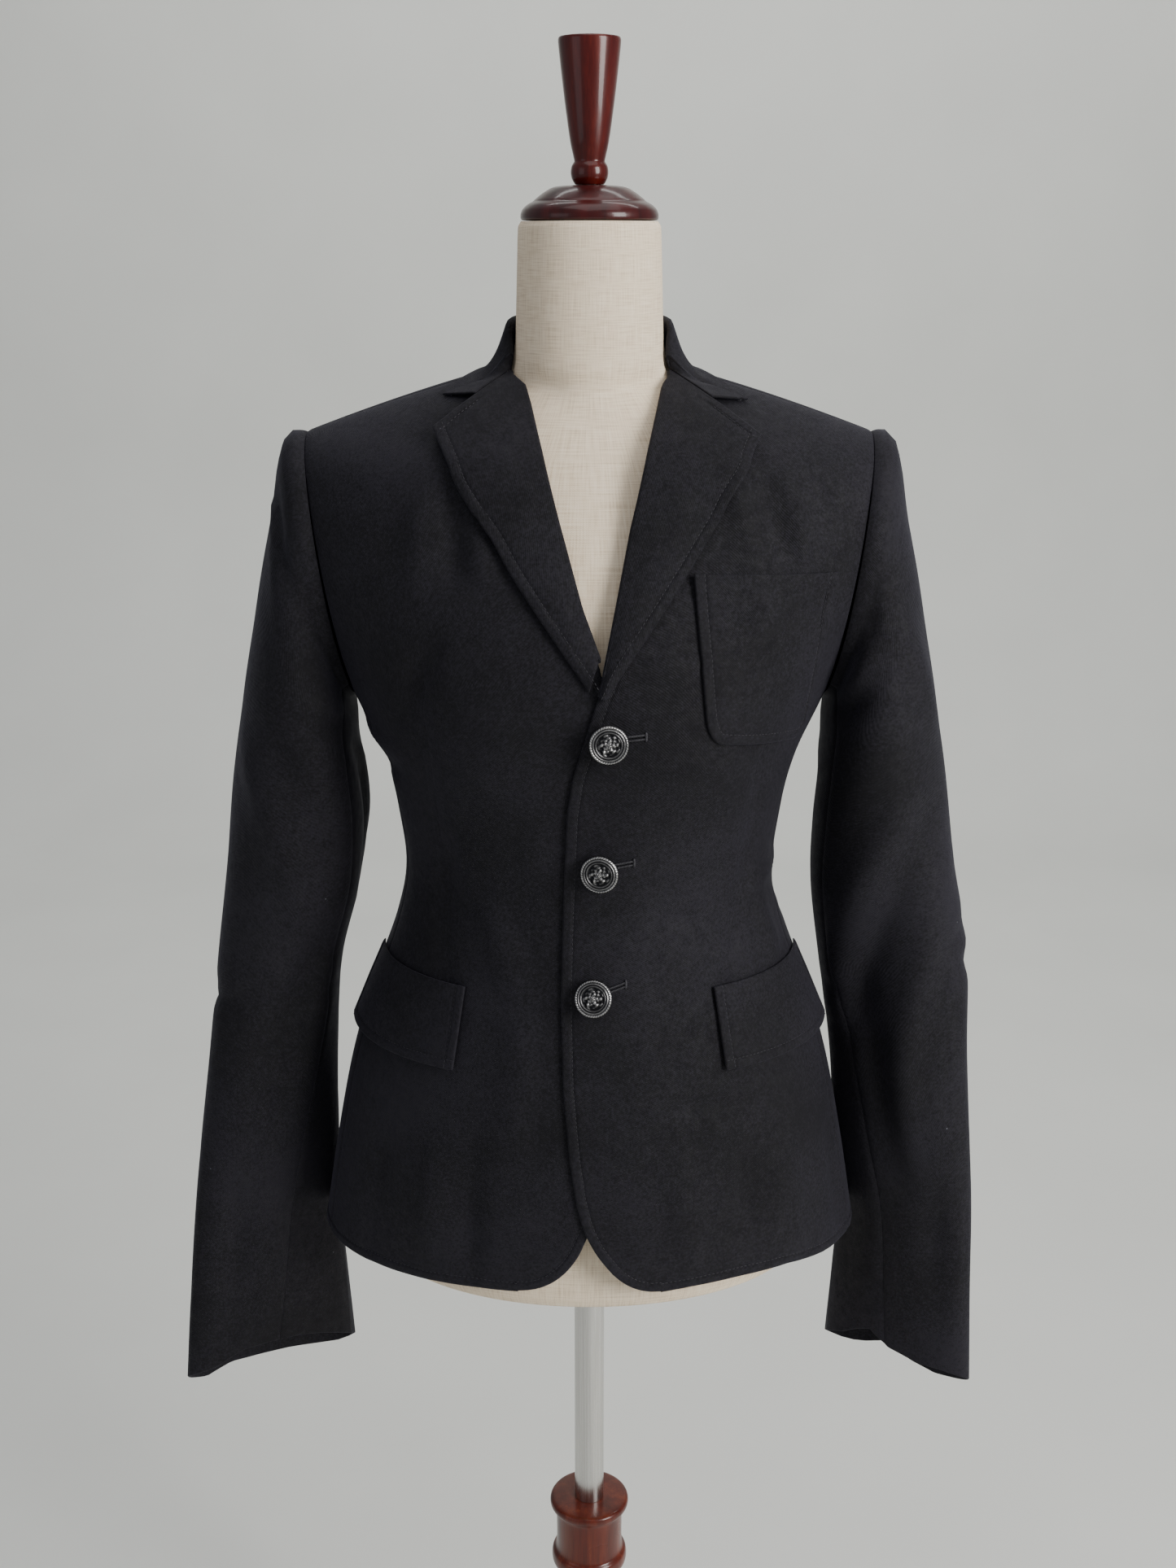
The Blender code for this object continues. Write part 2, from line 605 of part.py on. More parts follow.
# Lapels and the ends of the collar, seen from the front, for each side
LAPEL_ROWS = 13
LAPEL_COLUMNS = 5
Corner = namedtuple("Corner", "x z")
Lapel = namedtuple("Lapel", "tip roll_top roll_foot foot notch collar_tip_x collar_tip_y")
LAPELS = {
    1: Lapel(Corner(0.1067, 1.2800), Corner(0.0500, 1.3185), Corner(0.0088, BREAK_Z), Corner(0.0068, 1.1300),
             0.57, 0.1025, -0.0244),
    -1: Lapel(Corner(0.0980, 1.2840), Corner(0.0490, 1.3185), Corner(-0.0066, 1.1520), Corner(-0.0020, 1.1345),
              0.55, 0.0951, -0.0224),
}
LAPEL_BULGE = 0.0030
LAPEL_LIFT = WALL + LAY + 0.0004
LAPEL_ROLL_LIFT = 0.0020
GORGE_GAP = 0.0006


def front_lifted(side, x, z, lift):
    """A point over the front, seen from the front at x and z and raised off its surface."""
    across, row = front_place(x, z)
    surface = front_surface(side)
    return surface(across, row) + surface_normal(surface, across, row) * np.asarray(lift)[..., None]


def gorge_line(side, out, above):
    """The top edge of a lapel from its roll to its tip, or a line just above it."""
    lapel_shape = LAPELS[side]
    x = lapel_shape.roll_top.x + (lapel_shape.tip.x - lapel_shape.roll_top.x) * out
    z = lapel_shape.roll_top.z + (lapel_shape.tip.z - lapel_shape.roll_top.z) * out + above
    return front_lifted(side, x, z, LAPEL_LIFT + LAPEL_ROLL_LIFT * np.sin(math.pi * out))


def lapel(name, side, material):
    """The turned-back part of a front: from the roll to its outer edge, from the break up to the gorge."""
    shape = LAPELS[side]
    along = np.linspace(0.0, 1.0, LAPEL_ROWS + 1)[:, None]
    out = np.linspace(0.0, 1.0, LAPEL_COLUMNS + 1)[None, :]
    roll_z = shape.roll_foot.z + (shape.roll_top.z - shape.roll_foot.z) * along
    roll_x = np.clip(front_edge_x(side, roll_z), shape.roll_foot.x, shape.roll_top.x)
    edge_x = shape.foot.x + (shape.tip.x - shape.foot.x) * along + LAPEL_BULGE * np.sin(math.pi * along)
    edge_z = shape.foot.z + (shape.tip.z - shape.foot.z) * along
    x = roll_x + (edge_x - roll_x) * out
    z = roll_z + (edge_z - roll_z) * out
    lift = LAPEL_LIFT + LAPEL_ROLL_LIFT * np.sin(math.pi * out) * np.ones_like(along)
    return cloth(name, front_lifted(side, x, z, lift), material, side)


# Collar, from the centre back to the gorge: the neck seam, the fold and, in plan, the outer edge of the leaf.
# The last two stations take their edge from the lapel of their side.
Station = namedtuple("Station", "name seam fold edge")
COLLAR = (
    Station("centre back", (0.0000, 0.0507, 1.3165), (0.0000, 0.0517, 1.3570), (0.0000, 0.0665)),
    Station("back", (0.0285, 0.0420, 1.3185), (0.0280, 0.0440, 1.3560), (0.0400, 0.0560)),
    Station("side back", (0.0468, 0.0235, 1.3215), (0.0460, 0.0240, 1.3545), (0.0640, 0.0310)),
    Station("neck side", (0.0540, 0.0000, 1.3245), (0.0525, 0.0000, 1.3520), (0.0725, 0.0070)),
    Station("front", (0.0528, -0.0105, 1.3250), (0.0515, -0.0090, 1.3400), (0.0880, -0.0110)),
    Station("tip", (0.0515, -0.0160, 1.3245), (0.0512, -0.0152, 1.3320), (0.1000, -0.0240)),
    Station("gorge", (0.0503, -0.0190, 1.3235), (0.0505, -0.0200, 1.3275), (0.0800, -0.0460)),
)
COLLAR_PLACES = (0.0, 0.5, 1.0, 1.5, 2.0, 2.4, 2.8, 3.2, 3.6, 4.0, 4.5, 5.0, 5.5, 6.0)
FOLD_SPREAD = 0.0014
LEAF_SHARES = (0.3, 0.6, 1.0)
LEAF_FALL = 2.3


def leaf_point(side, x, y, z):
    """A point of the collar's leaf, raised where it would sink into the body."""
    across, row = top_place(x, y)
    surface = front_surface(side)
    seat = np.where(row < SHOULDER, surface(across, row)[..., 2], body_point(across, row)[..., 2])
    normal = surface_normal(body_point, across, row)
    return np.array([x, y, max(z, float(seat + (WALL * 1.5 + LAY) / normal[2]))])


def collar_line(side, place):
    """Points across the collar at a fractional station: up the stand, over the fold and down the leaf."""
    shape = LAPELS[side]
    tip = (shape.collar_tip_x, shape.collar_tip_y)
    edges = [tip if station.name == "tip" else station.edge for station in COLLAR]
    table = [[*station.seam, *station.fold, *edge] for station, edge in zip(COLLAR, edges)]
    if place > len(COLLAR) - 2:
        share = place - (len(COLLAR) - 2)
        values = np.array(table[-2]) * (1 - share) + np.array(table[-1]) * share
    else:
        values = smooth_rows(table[:-1], place)
    seam = values[0:3]
    fold = values[3:6]
    edge_x, edge_y = values[6:8]
    away = np.array([edge_x - fold[0], edge_y - fold[1], 0.0])
    away /= np.linalg.norm(away)
    down = np.array([0.0, 0.0, FOLD_SPREAD])
    inner_fold = fold - away * FOLD_SPREAD - down
    outer_fold = fold + away * FOLD_SPREAD - down
    foot = leaf_point(side, edge_x, edge_y, 0.0)[2]
    points = [seam, seam + (inner_fold - seam) * 0.5, inner_fold, fold, outer_fold]
    for share in LEAF_SHARES:
        x = outer_fold[0] + (edge_x - outer_fold[0]) * share
        y = outer_fold[1] + (edge_y - outer_fold[1]) * share
        z = foot + (outer_fold[2] - foot) * (1 - share) ** LEAF_FALL
        points.append(leaf_point(side, x, y, z))
    if place == len(COLLAR) - 1:
        out = np.array(LEAF_SHARES) * shape.notch
        points[-len(out):] = list(gorge_line(side, out, GORGE_GAP) + np.array([0.0, 0.0, WALL / 2]))
    return np.array(points)


def collar(name, material):
    """The whole collar, one folded piece round the neck."""
    left = np.array([collar_line(1, place) for place in COLLAR_PLACES])
    right = np.array([collar_line(-1, place) for place in COLLAR_PLACES])
    right = right[:0:-1] * np.array([-1.0, 1.0, 1.0])
    return cloth(name, np.concatenate([right, left]), material, 1, 0.0)


# Patch pocket, seen from the front, and the hip flaps
POCKET_TOP_FRONT = Corner(0.0635, 1.2037)
POCKET_TOP_BACK = Corner(0.1565, 1.1998)
POCKET_FOOT_FRONT = Corner(0.0735, 1.1000)
POCKET_FOOT_BACK = Corner(0.1400, 1.0865)
POCKET_CORNER = 0.15
POCKET_CORNER_IN = 0.13
POCKET_DOWN = (0.0, 0.15, 0.3, 0.45, 0.6, 0.73, 0.85, 0.93, 0.98, 1.0)
POCKET_COLUMNS = 6


def pocket(name, material):
    """The chest patch pocket, a little narrower at the foot, with rounded lower corners."""
    down = np.array(POCKET_DOWN)[:, None]
    low_part = np.clip((down - 1 + POCKET_CORNER) / POCKET_CORNER, 0.0, 1.0)
    inset = POCKET_CORNER_IN * (1 - np.sqrt(1 - low_part ** 2))
    out = inset + (1 - 2 * inset) * np.linspace(0.0, 1.0, POCKET_COLUMNS + 1)[None, :]
    corners = np.array([[POCKET_TOP_FRONT, POCKET_TOP_BACK], [POCKET_FOOT_FRONT, POCKET_FOOT_BACK]])
    front = corners[0, 0] + (corners[1, 0] - corners[0, 0]) * down[..., None]
    back = corners[0, 1] + (corners[1, 1] - corners[0, 1]) * down[..., None]
    place = front + (back - front) * out[..., None]
    place = place[::-1]
    lift = np.full(place.shape[:2], WALL + LAY)
    return cloth(name, front_lifted(1, place[..., 0], place[..., 1], lift), material)


FLAP_TOP_Z = 0.920
FLAP_BOTTOM_Z = 0.862
FLAP_FRONT_TOP = 0.082
FLAP_FRONT_BOTTOM = 0.0905
FLAP_BACK_ANGLE = 88.0
FLAP_STAND = 0.0042
FLAP_ROWS = 4
FLAP_COLUMNS = 9


def skirt_row(z):
    """The row of a given side height below the bust."""
    heights = [row.side_z for row in LOW_ROWS]
    guess = np.interp(z, heights, range(len(heights)))
    for _ in range(8):
        guess = guess - (low_values(guess)[0] - z) / ROW_HEIGHT
    return guess


def flap(name, side, material):
    """A hip pocket flap that follows the hip from its front end round to the side."""
    down = np.linspace(1.0, 0.0, FLAP_ROWS + 1)[:, None]
    back = np.linspace(0.0, 1.0, FLAP_COLUMNS + 1)[None, :]
    row = skirt_row(FLAP_TOP_Z + (FLAP_BOTTOM_Z - FLAP_TOP_Z) * down)
    half = low_values(row)[1]
    front_x = FLAP_FRONT_TOP + (FLAP_FRONT_BOTTOM - FLAP_FRONT_TOP) * down
    start = np.degrees(np.arcsin(front_x / half))
    angle = start + (FLAP_BACK_ANGLE - start) * back
    row = row + np.zeros_like(angle)
    lift = WALL + LAY + 0.0004 + FLAP_STAND * down ** 1.5 * (0.35 + 0.65 * back)
    points = ring_point(angle, row) + surface_normal(ring_point, angle, row) * lift[..., None]
    return cloth(name, points, material, side)


# Buttons: turned metal with a shank, sewn near the centre front
BUTTON_RADIUS = 0.0127
BUTTON_Z = (1.1037, 1.0143, 0.9241)
BUTTON_X = (0.0119, 0.0066, 0.0028)
BUTTON_TURN = ((4.0, 2.0), (10.0, -12.0), (12.0, -12.0))
BUTTON_PROFILE = (
    (0.0, 0.0052), (0.0045, 0.0050), (0.0076, 0.0044), (0.0082, 0.0036), (0.0098, 0.0034), (0.0104, 0.0042),
    (0.0118, 0.0042), (BUTTON_RADIUS, 0.0030), (0.0123, 0.0016), (0.0060, 0.0006), (0.0022, 0.0),
    (0.0022, -0.0050), (0.0, -0.0050),
)
BUTTON_SEGMENTS = 16
SHANK_FOOT = 0.0052


def button(name, x, z, turn, material):
    """A shank button standing just off the upper front."""
    across, row = front_place(x, z)
    surface = front_surface(1)
    seat = surface(across, row)
    normal = surface_normal(surface, across, row)
    thing = turned(name, BUTTON_PROFILE, material, BUTTON_SEGMENTS)
    up = math.atan2(normal[2], -normal[1])
    thing.rotation_mode = "XYZ"
    thing.rotation_euler = (math.pi / 2 - up - math.radians(turn[0]), 0.0, math.radians(turn[1]))
    reach = WALL + LAY + SHANK_FOOT
    thing.location = seat + normal * reach
    return thing


# Dress form: level rings, with the depths to the front and back and a squareness (2 is an ellipse)
FormRing = namedtuple("FormRing", "z half_width front back square")
FORM = (
    FormRing(0.6790, 0.1500, 0.0980, 0.0960, 2.0),
    FormRing(0.6820, 0.1590, 0.1060, 0.1040, 2.0),
    FormRing(0.6900, 0.1630, 0.1095, 0.1075, 2.0),
    FormRing(0.7600, 0.1650, 0.1120, 0.1100, 2.0),
    FormRing(0.8300, 0.1600, 0.1100, 0.1050, 2.0),
    FormRing(0.8890, 0.1440, 0.1050, 0.0940, 2.0),
    FormRing(0.9430, 0.1240, 0.0990, 0.0800, 2.0),
    FormRing(0.9840, 0.1180, 0.0970, 0.0740, 2.0),
    FormRing(1.0300, 0.1250, 0.1040, 0.0810, 2.0),
    FormRing(1.0740, 0.1370, 0.1150, 0.0930, 2.1),
    FormRing(1.1200, 0.1520, 0.1190, 0.1030, 2.2),
    FormRing(1.1700, 0.1590, 0.1140, 0.1050, 2.3),
    FormRing(1.2200, 0.1640, 0.0985, 0.0950, 2.2),
    FormRing(1.2600, 0.1660, 0.0820, 0.0820, 2.0),
    FormRing(1.2780, 0.1650, 0.0680, 0.0700, 1.75),
    FormRing(1.2860, 0.1620, 0.0615, 0.0650, 1.60),
    FormRing(1.2915, 0.1460, 0.0575, 0.0600, 1.55),
    FormRing(1.2970, 0.1310, 0.0532, 0.0560, 1.50),
    FormRing(1.3030, 0.1120, 0.0494, 0.0512, 1.32),
    FormRing(1.3085, 0.0835, 0.0487, 0.0494, 1.25),
    FormRing(1.3140, 0.0625, 0.0483, 0.0484, 1.30),
    FormRing(1.3190, 0.0527, 0.0481, 0.0481, 1.60),
    FormRing(1.3240, 0.0510, 0.0482, 0.0480, 1.90),
    FormRing(1.3380, 0.0484, 0.0479, 0.0479, 2.0),
    FormRing(1.3520, 0.0480, 0.0478, 0.0478, 2.0),
    FormRing(1.4000, 0.0465, 0.0465, 0.0465, 2.0),
    FormRing(1.4110, 0.0460, 0.0460, 0.0460, 2.0),
    FormRing(1.4140, 0.0440, 0.0440, 0.0440, 2.0),
)
FORM_COLUMNS = 36


def dress_form(name, material):
    """The stuffed torso and neck, closed at the bottom and under the cap."""
    rings = FORM[::-1]
    mesh = bmesh.new()
    lines = [[mesh.verts.new((0.0, 0.0, rings[0][0]))]]
    for z, half, front, back, square in rings:
        line = []
        for k in range(FORM_COLUMNS):
            turn = 2 * math.pi * k / FORM_COLUMNS
            cosine = math.cos(turn)
            sine = math.sin(turn)
            x = half * math.copysign(abs(cosine) ** (2 / square), cosine)
            depth = back if sine > 0 else front
            y = depth * math.copysign(abs(sine) ** (2 / square), sine)
            line.append(mesh.verts.new((x, y, z)))
        lines.append(line)
    lines.append([mesh.verts.new((0.0, 0.0, rings[-1][0]))])
    join_rings(mesh, lines)
    data = bpy.data.meshes.new(name)
    mesh.to_mesh(data)
    mesh.free()
    return add_object(name, data, material)


# Neck cap, finial, pole and stand
FORM_TOP = FORM[-1].z
CAP_HEIGHT = 0.0215
CAP_PROFILE = (
    (0.0, 0.0215), (0.0170, 0.0215), (0.0240, 0.0205), (0.0300, 0.0170), (0.0352, 0.0130), (0.0362, 0.0118),
    (0.0400, 0.0100), (0.0432, 0.0070), (0.0444, 0.0040), (0.0444, 0.0012), (0.0430, 0.0), (0.0, 0.0),
)
FINIAL_PROFILE = (
    (0.0, 0.0880), (0.0185, 0.0880), (0.0199, 0.0868), (0.0196, 0.0820), (0.0165, 0.0550), (0.0125, 0.0260),
    (0.0098, 0.0150), (0.0098, 0.0140), (0.0116, 0.0115), (0.0122, 0.0075), (0.0114, 0.0035), (0.0096, 0.0008),
    (0.0090, 0.0), (0.0, 0.0),
)
POLE_RADIUS = 0.0115
DISC_TOP = 0.4400
STAND_FOOT = 0.0650
STAND_PROFILE = (
    (0.0, 0.4400), (0.0285, 0.4400), (0.0308, 0.4385), (0.0314, 0.4360), (0.0308, 0.4330), (0.0275, 0.4310),
    (0.0262, 0.4270), (0.0260, 0.3960), (0.0268, 0.3920), (0.0295, 0.3900), (0.0302, 0.3840), (0.0292, 0.3790),
    (0.0230, 0.3740), (0.0205, 0.3600), (0.0215, 0.3200), (0.0245, 0.2800), (0.0250, 0.2550), (0.0220, 0.2350),
    (0.0225, 0.2300), (0.0290, 0.2240), (0.0300, 0.2170), (0.0290, 0.2100), (0.0270, 0.2060), (0.0270, 0.1000),
    (0.0240, 0.0920), (0.0200, 0.0800), (0.0120, 0.0680), (0.0, STAND_FOOT),
)
ROUND_SEGMENTS = 22

# Legs: the middle line as distance from the axis and height, half width and half height
Leg = namedtuple("Leg", "reach z half_width half_height")
LEG_STATIONS = (
    Leg(0.0270, 0.1650, 0.0130, 0.0260),
    Leg(0.0600, 0.1560, 0.0125, 0.0200),
    Leg(0.1050, 0.1150, 0.0120, 0.0150),
    Leg(0.1500, 0.0620, 0.0115, 0.0120),
    Leg(0.1900, 0.0260, 0.0115, 0.0110),
    Leg(0.2200, 0.0105, 0.0125, 0.0105),
    Leg(0.2400, 0.0105, 0.0130, 0.0105),
)
LEG_STEPS = 2
LEG_CORNERS = ((-1, 0.35), (-0.65, 1), (0.65, 1), (1, 0.35), (1, -1), (-1, -1))


def leg(name, angle, material):
    """One curved leg from the column out to its foot, flat where it meets the floor."""
    place = np.linspace(0.0, len(LEG_STATIONS) - 1, (len(LEG_STATIONS) - 1) * LEG_STEPS + 1)
    values = smooth_rows([list(station) for station in LEG_STATIONS], place)
    turn = math.radians(angle)
    out = np.array([math.cos(turn), math.sin(turn), 0.0])
    across = np.array([-math.sin(turn), math.cos(turn), 0.0])
    up = np.array([0.0, 0.0, 1.0])
    mesh = bmesh.new()
    lines = []
    for reach, z, half_width, half_height in values:
        middle = out * (reach + GAP) + up * max(z, half_height)
        line = []
        for aside, above in LEG_CORNERS:
            line.append(mesh.verts.new(middle + across * half_width * aside + up * (half_height * above)))
        lines.append(line)
    for first, second in zip(lines, lines[1:]):
        for k in range(len(first)):
            following = (k + 1) % len(first)
            mesh.faces.new([first[k], second[k], second[following], first[following]])
    mesh.faces.new(lines[0])
    mesh.faces.new(lines[-1][::-1])
    bmesh.ops.recalc_face_normals(mesh, faces=mesh.faces)
    data = bpy.data.meshes.new(name)
    mesh.to_mesh(data)
    mesh.free()
    return add_object(name, data, material)


def shifted(profile, z):
    """A profile moved up to a height."""
    return [(radius, height + z) for radius, height in profile]


def centre_on_floor(things):
    """Parent everything to an empty that puts the middle of the bounding box on the origin."""
    holder = bpy.data.objects.new("Blazer on form", None)
    bpy.context.scene.collection.objects.link(holder)
    for thing in things:
        thing.parent = holder
    bpy.context.view_layer.update()
    graph = bpy.context.evaluated_depsgraph_get()
    corners = []
    for thing in things:
        seen = thing.evaluated_get(graph)
        corners += [seen.matrix_world @ vertex.co for vertex in seen.data.vertices]
    corners = np.array([tuple(corner) for corner in corners])
    low = corners.min(axis=0)
    high = corners.max(axis=0)
    holder.location = (-(low[0] + high[0]) / 2, -(low[1] + high[1]) / 2, -low[2])


def build():
    """Make every piece."""
    for thing in list(bpy.data.objects):
        bpy.data.objects.remove(thing, do_unlink=True)
    black = (0.012, 0.012, 0.014)

    def twill(name):
        return new_material(name, black, 0.82)

    def mahogany(name):
        return new_material(name, (0.10, 0.012, 0.008), 0.22)

    things = [
        front_panel("front_left", 1, twill("Front left twill")),
        front_panel("front_right", -1, twill("Front right twill")),
        side_panel("side_left", 1, twill("Side left twill")),
        side_panel("side_right", -1, twill("Side right twill")),
        back_panel("back_left", 1, twill("Back left twill")),
        back_panel("back_right", -1, twill("Back right twill")),
        sleeve_piece("sleeve_top_left", 1, LEFT_RINGS, True, twill("Top sleeve left twill")),
        sleeve_piece("sleeve_under_left", 1, LEFT_RINGS, False, twill("Under sleeve left twill")),
        sleeve_piece("sleeve_top_right", -1, RIGHT_RINGS, True, twill("Top sleeve right twill")),
        sleeve_piece("sleeve_under_right", -1, RIGHT_RINGS, False, twill("Under sleeve right twill")),
        lapel("lapel_left", 1, twill("Lapel left twill")),
        lapel("lapel_right", -1, twill("Lapel right twill")),
        collar("collar", twill("Collar twill")),
        pocket("pocket_chest", twill("Pocket twill")),
        flap("flap_left", 1, twill("Flap left twill")),
        flap("flap_right", -1, twill("Flap right twill")),
    ]
    for number, (x, z, turn) in enumerate(zip(BUTTON_X, BUTTON_Z, BUTTON_TURN), 1):
        metal = new_material(f"Button {number} gunmetal", (0.09, 0.09, 0.10), 0.35, 1.0)
        things.append(button(f"button_{number}", x, z, turn, metal))
    things.append(dress_form("dress_form", new_material("Linen", (0.72, 0.66, 0.56), 0.9)))
    cap_profile = shifted(CAP_PROFILE, FORM_TOP + GAP)
    things.append(turned("neck_cap", cap_profile, mahogany("Cap mahogany"), ROUND_SEGMENTS))
    finial_profile = shifted(FINIAL_PROFILE, FORM_TOP + CAP_HEIGHT + 2 * GAP)
    things.append(turned("finial", finial_profile, mahogany("Finial mahogany"), ROUND_SEGMENTS))
    pole_top = FORM[0].z - GAP
    pole_foot = DISC_TOP + GAP
    pole_profile = ((0.0, pole_top), (POLE_RADIUS, pole_top), (POLE_RADIUS, pole_foot), (0.0, pole_foot))
    steel = new_material("Steel", (0.55, 0.55, 0.56), 0.25, 1.0)
    things.append(turned("pole", pole_profile, steel, ROUND_SEGMENTS))
    things.append(turned("stand_column", STAND_PROFILE, mahogany("Column mahogany"), ROUND_SEGMENTS))
    for number, angle in enumerate((-90.0, 30.0, 150.0), 1):
        things.append(leg(f"leg_{number}", angle, mahogany(f"Leg {number} mahogany")))
    centre_on_floor(things)


build()
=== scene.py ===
"""Looks of a fitted black blazer on a linen dress form with a turned mahogany stand.

Units are metres and +Z is up. The blazer faces -Y and the wearer's left is +X.
The cloth is laid on the same surfaces as the frame's solids, with the creases, seams and stitches added.
"""
import math
from collections import namedtuple

import bpy
import numpy as np
from mathutils import Euler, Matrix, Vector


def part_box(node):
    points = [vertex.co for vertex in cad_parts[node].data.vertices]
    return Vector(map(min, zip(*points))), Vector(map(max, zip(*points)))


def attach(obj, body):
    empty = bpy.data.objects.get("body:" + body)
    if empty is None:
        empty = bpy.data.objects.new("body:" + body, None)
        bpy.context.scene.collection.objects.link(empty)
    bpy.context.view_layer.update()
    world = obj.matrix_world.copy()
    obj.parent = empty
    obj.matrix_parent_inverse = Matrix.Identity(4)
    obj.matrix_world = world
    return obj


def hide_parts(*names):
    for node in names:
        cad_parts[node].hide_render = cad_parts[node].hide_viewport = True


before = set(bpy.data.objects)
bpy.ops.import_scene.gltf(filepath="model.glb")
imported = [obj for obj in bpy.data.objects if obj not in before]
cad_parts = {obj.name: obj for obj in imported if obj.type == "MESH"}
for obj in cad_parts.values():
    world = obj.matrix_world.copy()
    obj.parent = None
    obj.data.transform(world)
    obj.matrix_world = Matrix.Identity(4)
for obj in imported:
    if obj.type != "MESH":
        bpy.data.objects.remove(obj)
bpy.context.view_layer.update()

# The frame is centred on the floor; the surfaces below are centred on the pole
POLE_LOW, POLE_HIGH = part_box("pole")
SHIFT = np.array([(POLE_LOW.x + POLE_HIGH.x) / 2, (POLE_LOW.y + POLE_HIGH.y) / 2, 0.0])

# Cloth and seams
WALL = 0.0016
GAP = 0.0003
LAY = 0.0007
SEAM_INSET = 0.00006
UNDERARM_INSET = 2.0
UNDERARM_ROWS = 1.5
SHOULDER_INSET = 0.006

# Armhole, an upright ellipse that leans outwards towards the shoulder tip
ARMHOLE_BOTTOM_Z = 1.105
ARMHOLE_TOP_Z = 1.280
ARMHOLE_BOTTOM_X = 0.158
ARMHOLE_TOP_X = 0.187
ARMHOLE_FRONT = 0.055
ARMHOLE_BACK = 0.058
FRONT_SEAM_TOP = 38.0
BACK_SEAM_TOP = 52.0

# Rows below the armhole are ellipses: heights at the front, side and back, half width, depths,
# and the angles from the centre front at which the side panel begins and ends.
Low = namedtuple("Low", "name front_z side_z back_z half_width front back seam_front seam_back")
LOW_ROWS = (
    Low("hem", 0.706, 0.699, 0.700, 0.1970, 0.1240, 0.124, 76.0, 112.0),
    Low("skirt", 0.766, 0.762, 0.763, 0.1865, 0.1240, 0.122, 76.5, 112.0),
    Low("hip", 0.834, 0.831, 0.832, 0.1725, 0.1210, 0.117, 77.0, 111.0),
    Low("high hip", 0.893, 0.889, 0.891, 0.1555, 0.1150, 0.104, 78.0, 110.0),
    Low("waistline", 0.945, 0.943, 0.944, 0.1360, 0.1085, 0.089, 79.0, 109.0),
    Low("waist", 0.985, 0.984, 0.985, 0.1285, 0.1070, 0.083, 78.0, 109.0),
    Low("ribs", 1.032, 1.030, 1.031, 0.1345, 0.1130, 0.089, 74.0, 110.0),
    Low("bust", 1.078, 1.074, 1.077, 0.1465, 0.1215, 0.101, 72.0, 112.0),
    Low("underarm", 1.128, 1.123, 1.132, 0.1680, 0.1245, 0.109, 73.5, 114.0),
)

# Rows that end at the armhole: the angle round the armhole from its lowest point,
# the point at the centre, and the angle of arc that the row bends through.
High = namedtuple("High", "name angle centre_y centre_z arc")
FRONT_HIGH_ROWS = (
    High("chest", 75.0, -0.1195, 1.168, 68.0),
    High("upper chest", 108.0, -0.1040, 1.222, 60.0),
    High("collarbone", 143.0, -0.0800, 1.277, 50.0),
)
BACK_HIGH_ROWS = (
    High("shoulder blade", 82.0, 0.1090, 1.178, 62.0),
    High("upper back", 112.0, 0.0985, 1.238, 56.0),
    High("nape", 146.0, 0.0700, 1.304, 50.0),
)
SHOULDER_ROW = High("shoulder seam", 180.0, 0.0, 1.3315, 45.0)
SLOPE_POWER = 1.35
SIDE_BLEND = 2.6
ROW_HEIGHT = 0.06

# Bust fullness
BUST_RISE = 0.010
BUST_X = 0.080
BUST_Z = 1.092
BUST_SPREAD_X = 0.046
BUST_SPREAD_Z = 0.062

# Fronts. The wearer's left front laps over the right one.
BREAK_Z = 1.149
NECK_HALF = 0.0560
NECK_Z = 1.3215
NECK_BACK = 0.0525
LAP_CLEAR = 0.0009
LAP_LIFT = WALL + LAP_CLEAR
LAP_FULL_X = 0.028
LAP_FADE_X = 0.075
LAP_TOP_RISE = 0.012
LAP_TOP_FADE = 0.05
CORNER_HEIGHT = 0.058
CORNER_WIDTH = 0.048

# Finding a place on the body by halving
HALVINGS = 40
EDGE_SEARCH_FROM = -0.4
EDGE_SEARCH_TO = 0.9


def radians(value):
    """Degrees to radians, for numbers and arrays."""
    return np.asarray(value, float) * math.pi / 180.0


def smoothstep(value):
    """An S-shaped rise from 0 to 1."""
    value = np.clip(value, 0.0, 1.0)
    return value * value * (3.0 - 2.0 * value)


def smooth_rows(table, at):
    """Values of a table of rows at fractional row numbers, on a smooth curve through the rows."""
    table = np.asarray(table, float)
    at = np.asarray(at, float)
    last = len(table) - 1
    first = np.clip(np.floor(at).astype(int), 0, last - 1)
    part = (at - first)[..., None]
    before = table[np.maximum(first - 1, 0)]
    start = table[first]
    end = table[first + 1]
    after = table[np.minimum(first + 2, last)]
    slope_start = (end - before) / 2.0
    slope_end = (after - start) / 2.0
    return ((2 * part ** 3 - 3 * part ** 2 + 1) * start + (part ** 3 - 2 * part ** 2 + part) * slope_start
            + (3 * part ** 2 - 2 * part ** 3) * end + (part ** 3 - part ** 2) * slope_end)


def armhole_point(angle, depth):
    """The armhole at an angle in degrees from its lowest point; depth is signed, front negative."""
    turn = radians(angle)
    middle = (ARMHOLE_BOTTOM_Z + ARMHOLE_TOP_Z) / 2
    z = middle - (ARMHOLE_TOP_Z - ARMHOLE_BOTTOM_Z) / 2 * np.cos(turn)
    lean = (ARMHOLE_TOP_X - ARMHOLE_BOTTOM_X) / (ARMHOLE_TOP_Z - ARMHOLE_BOTTOM_Z)
    x = ARMHOLE_BOTTOM_X + lean * (z - ARMHOLE_BOTTOM_Z)
    return np.stack([x, depth * np.sin(turn), z], axis=-1)


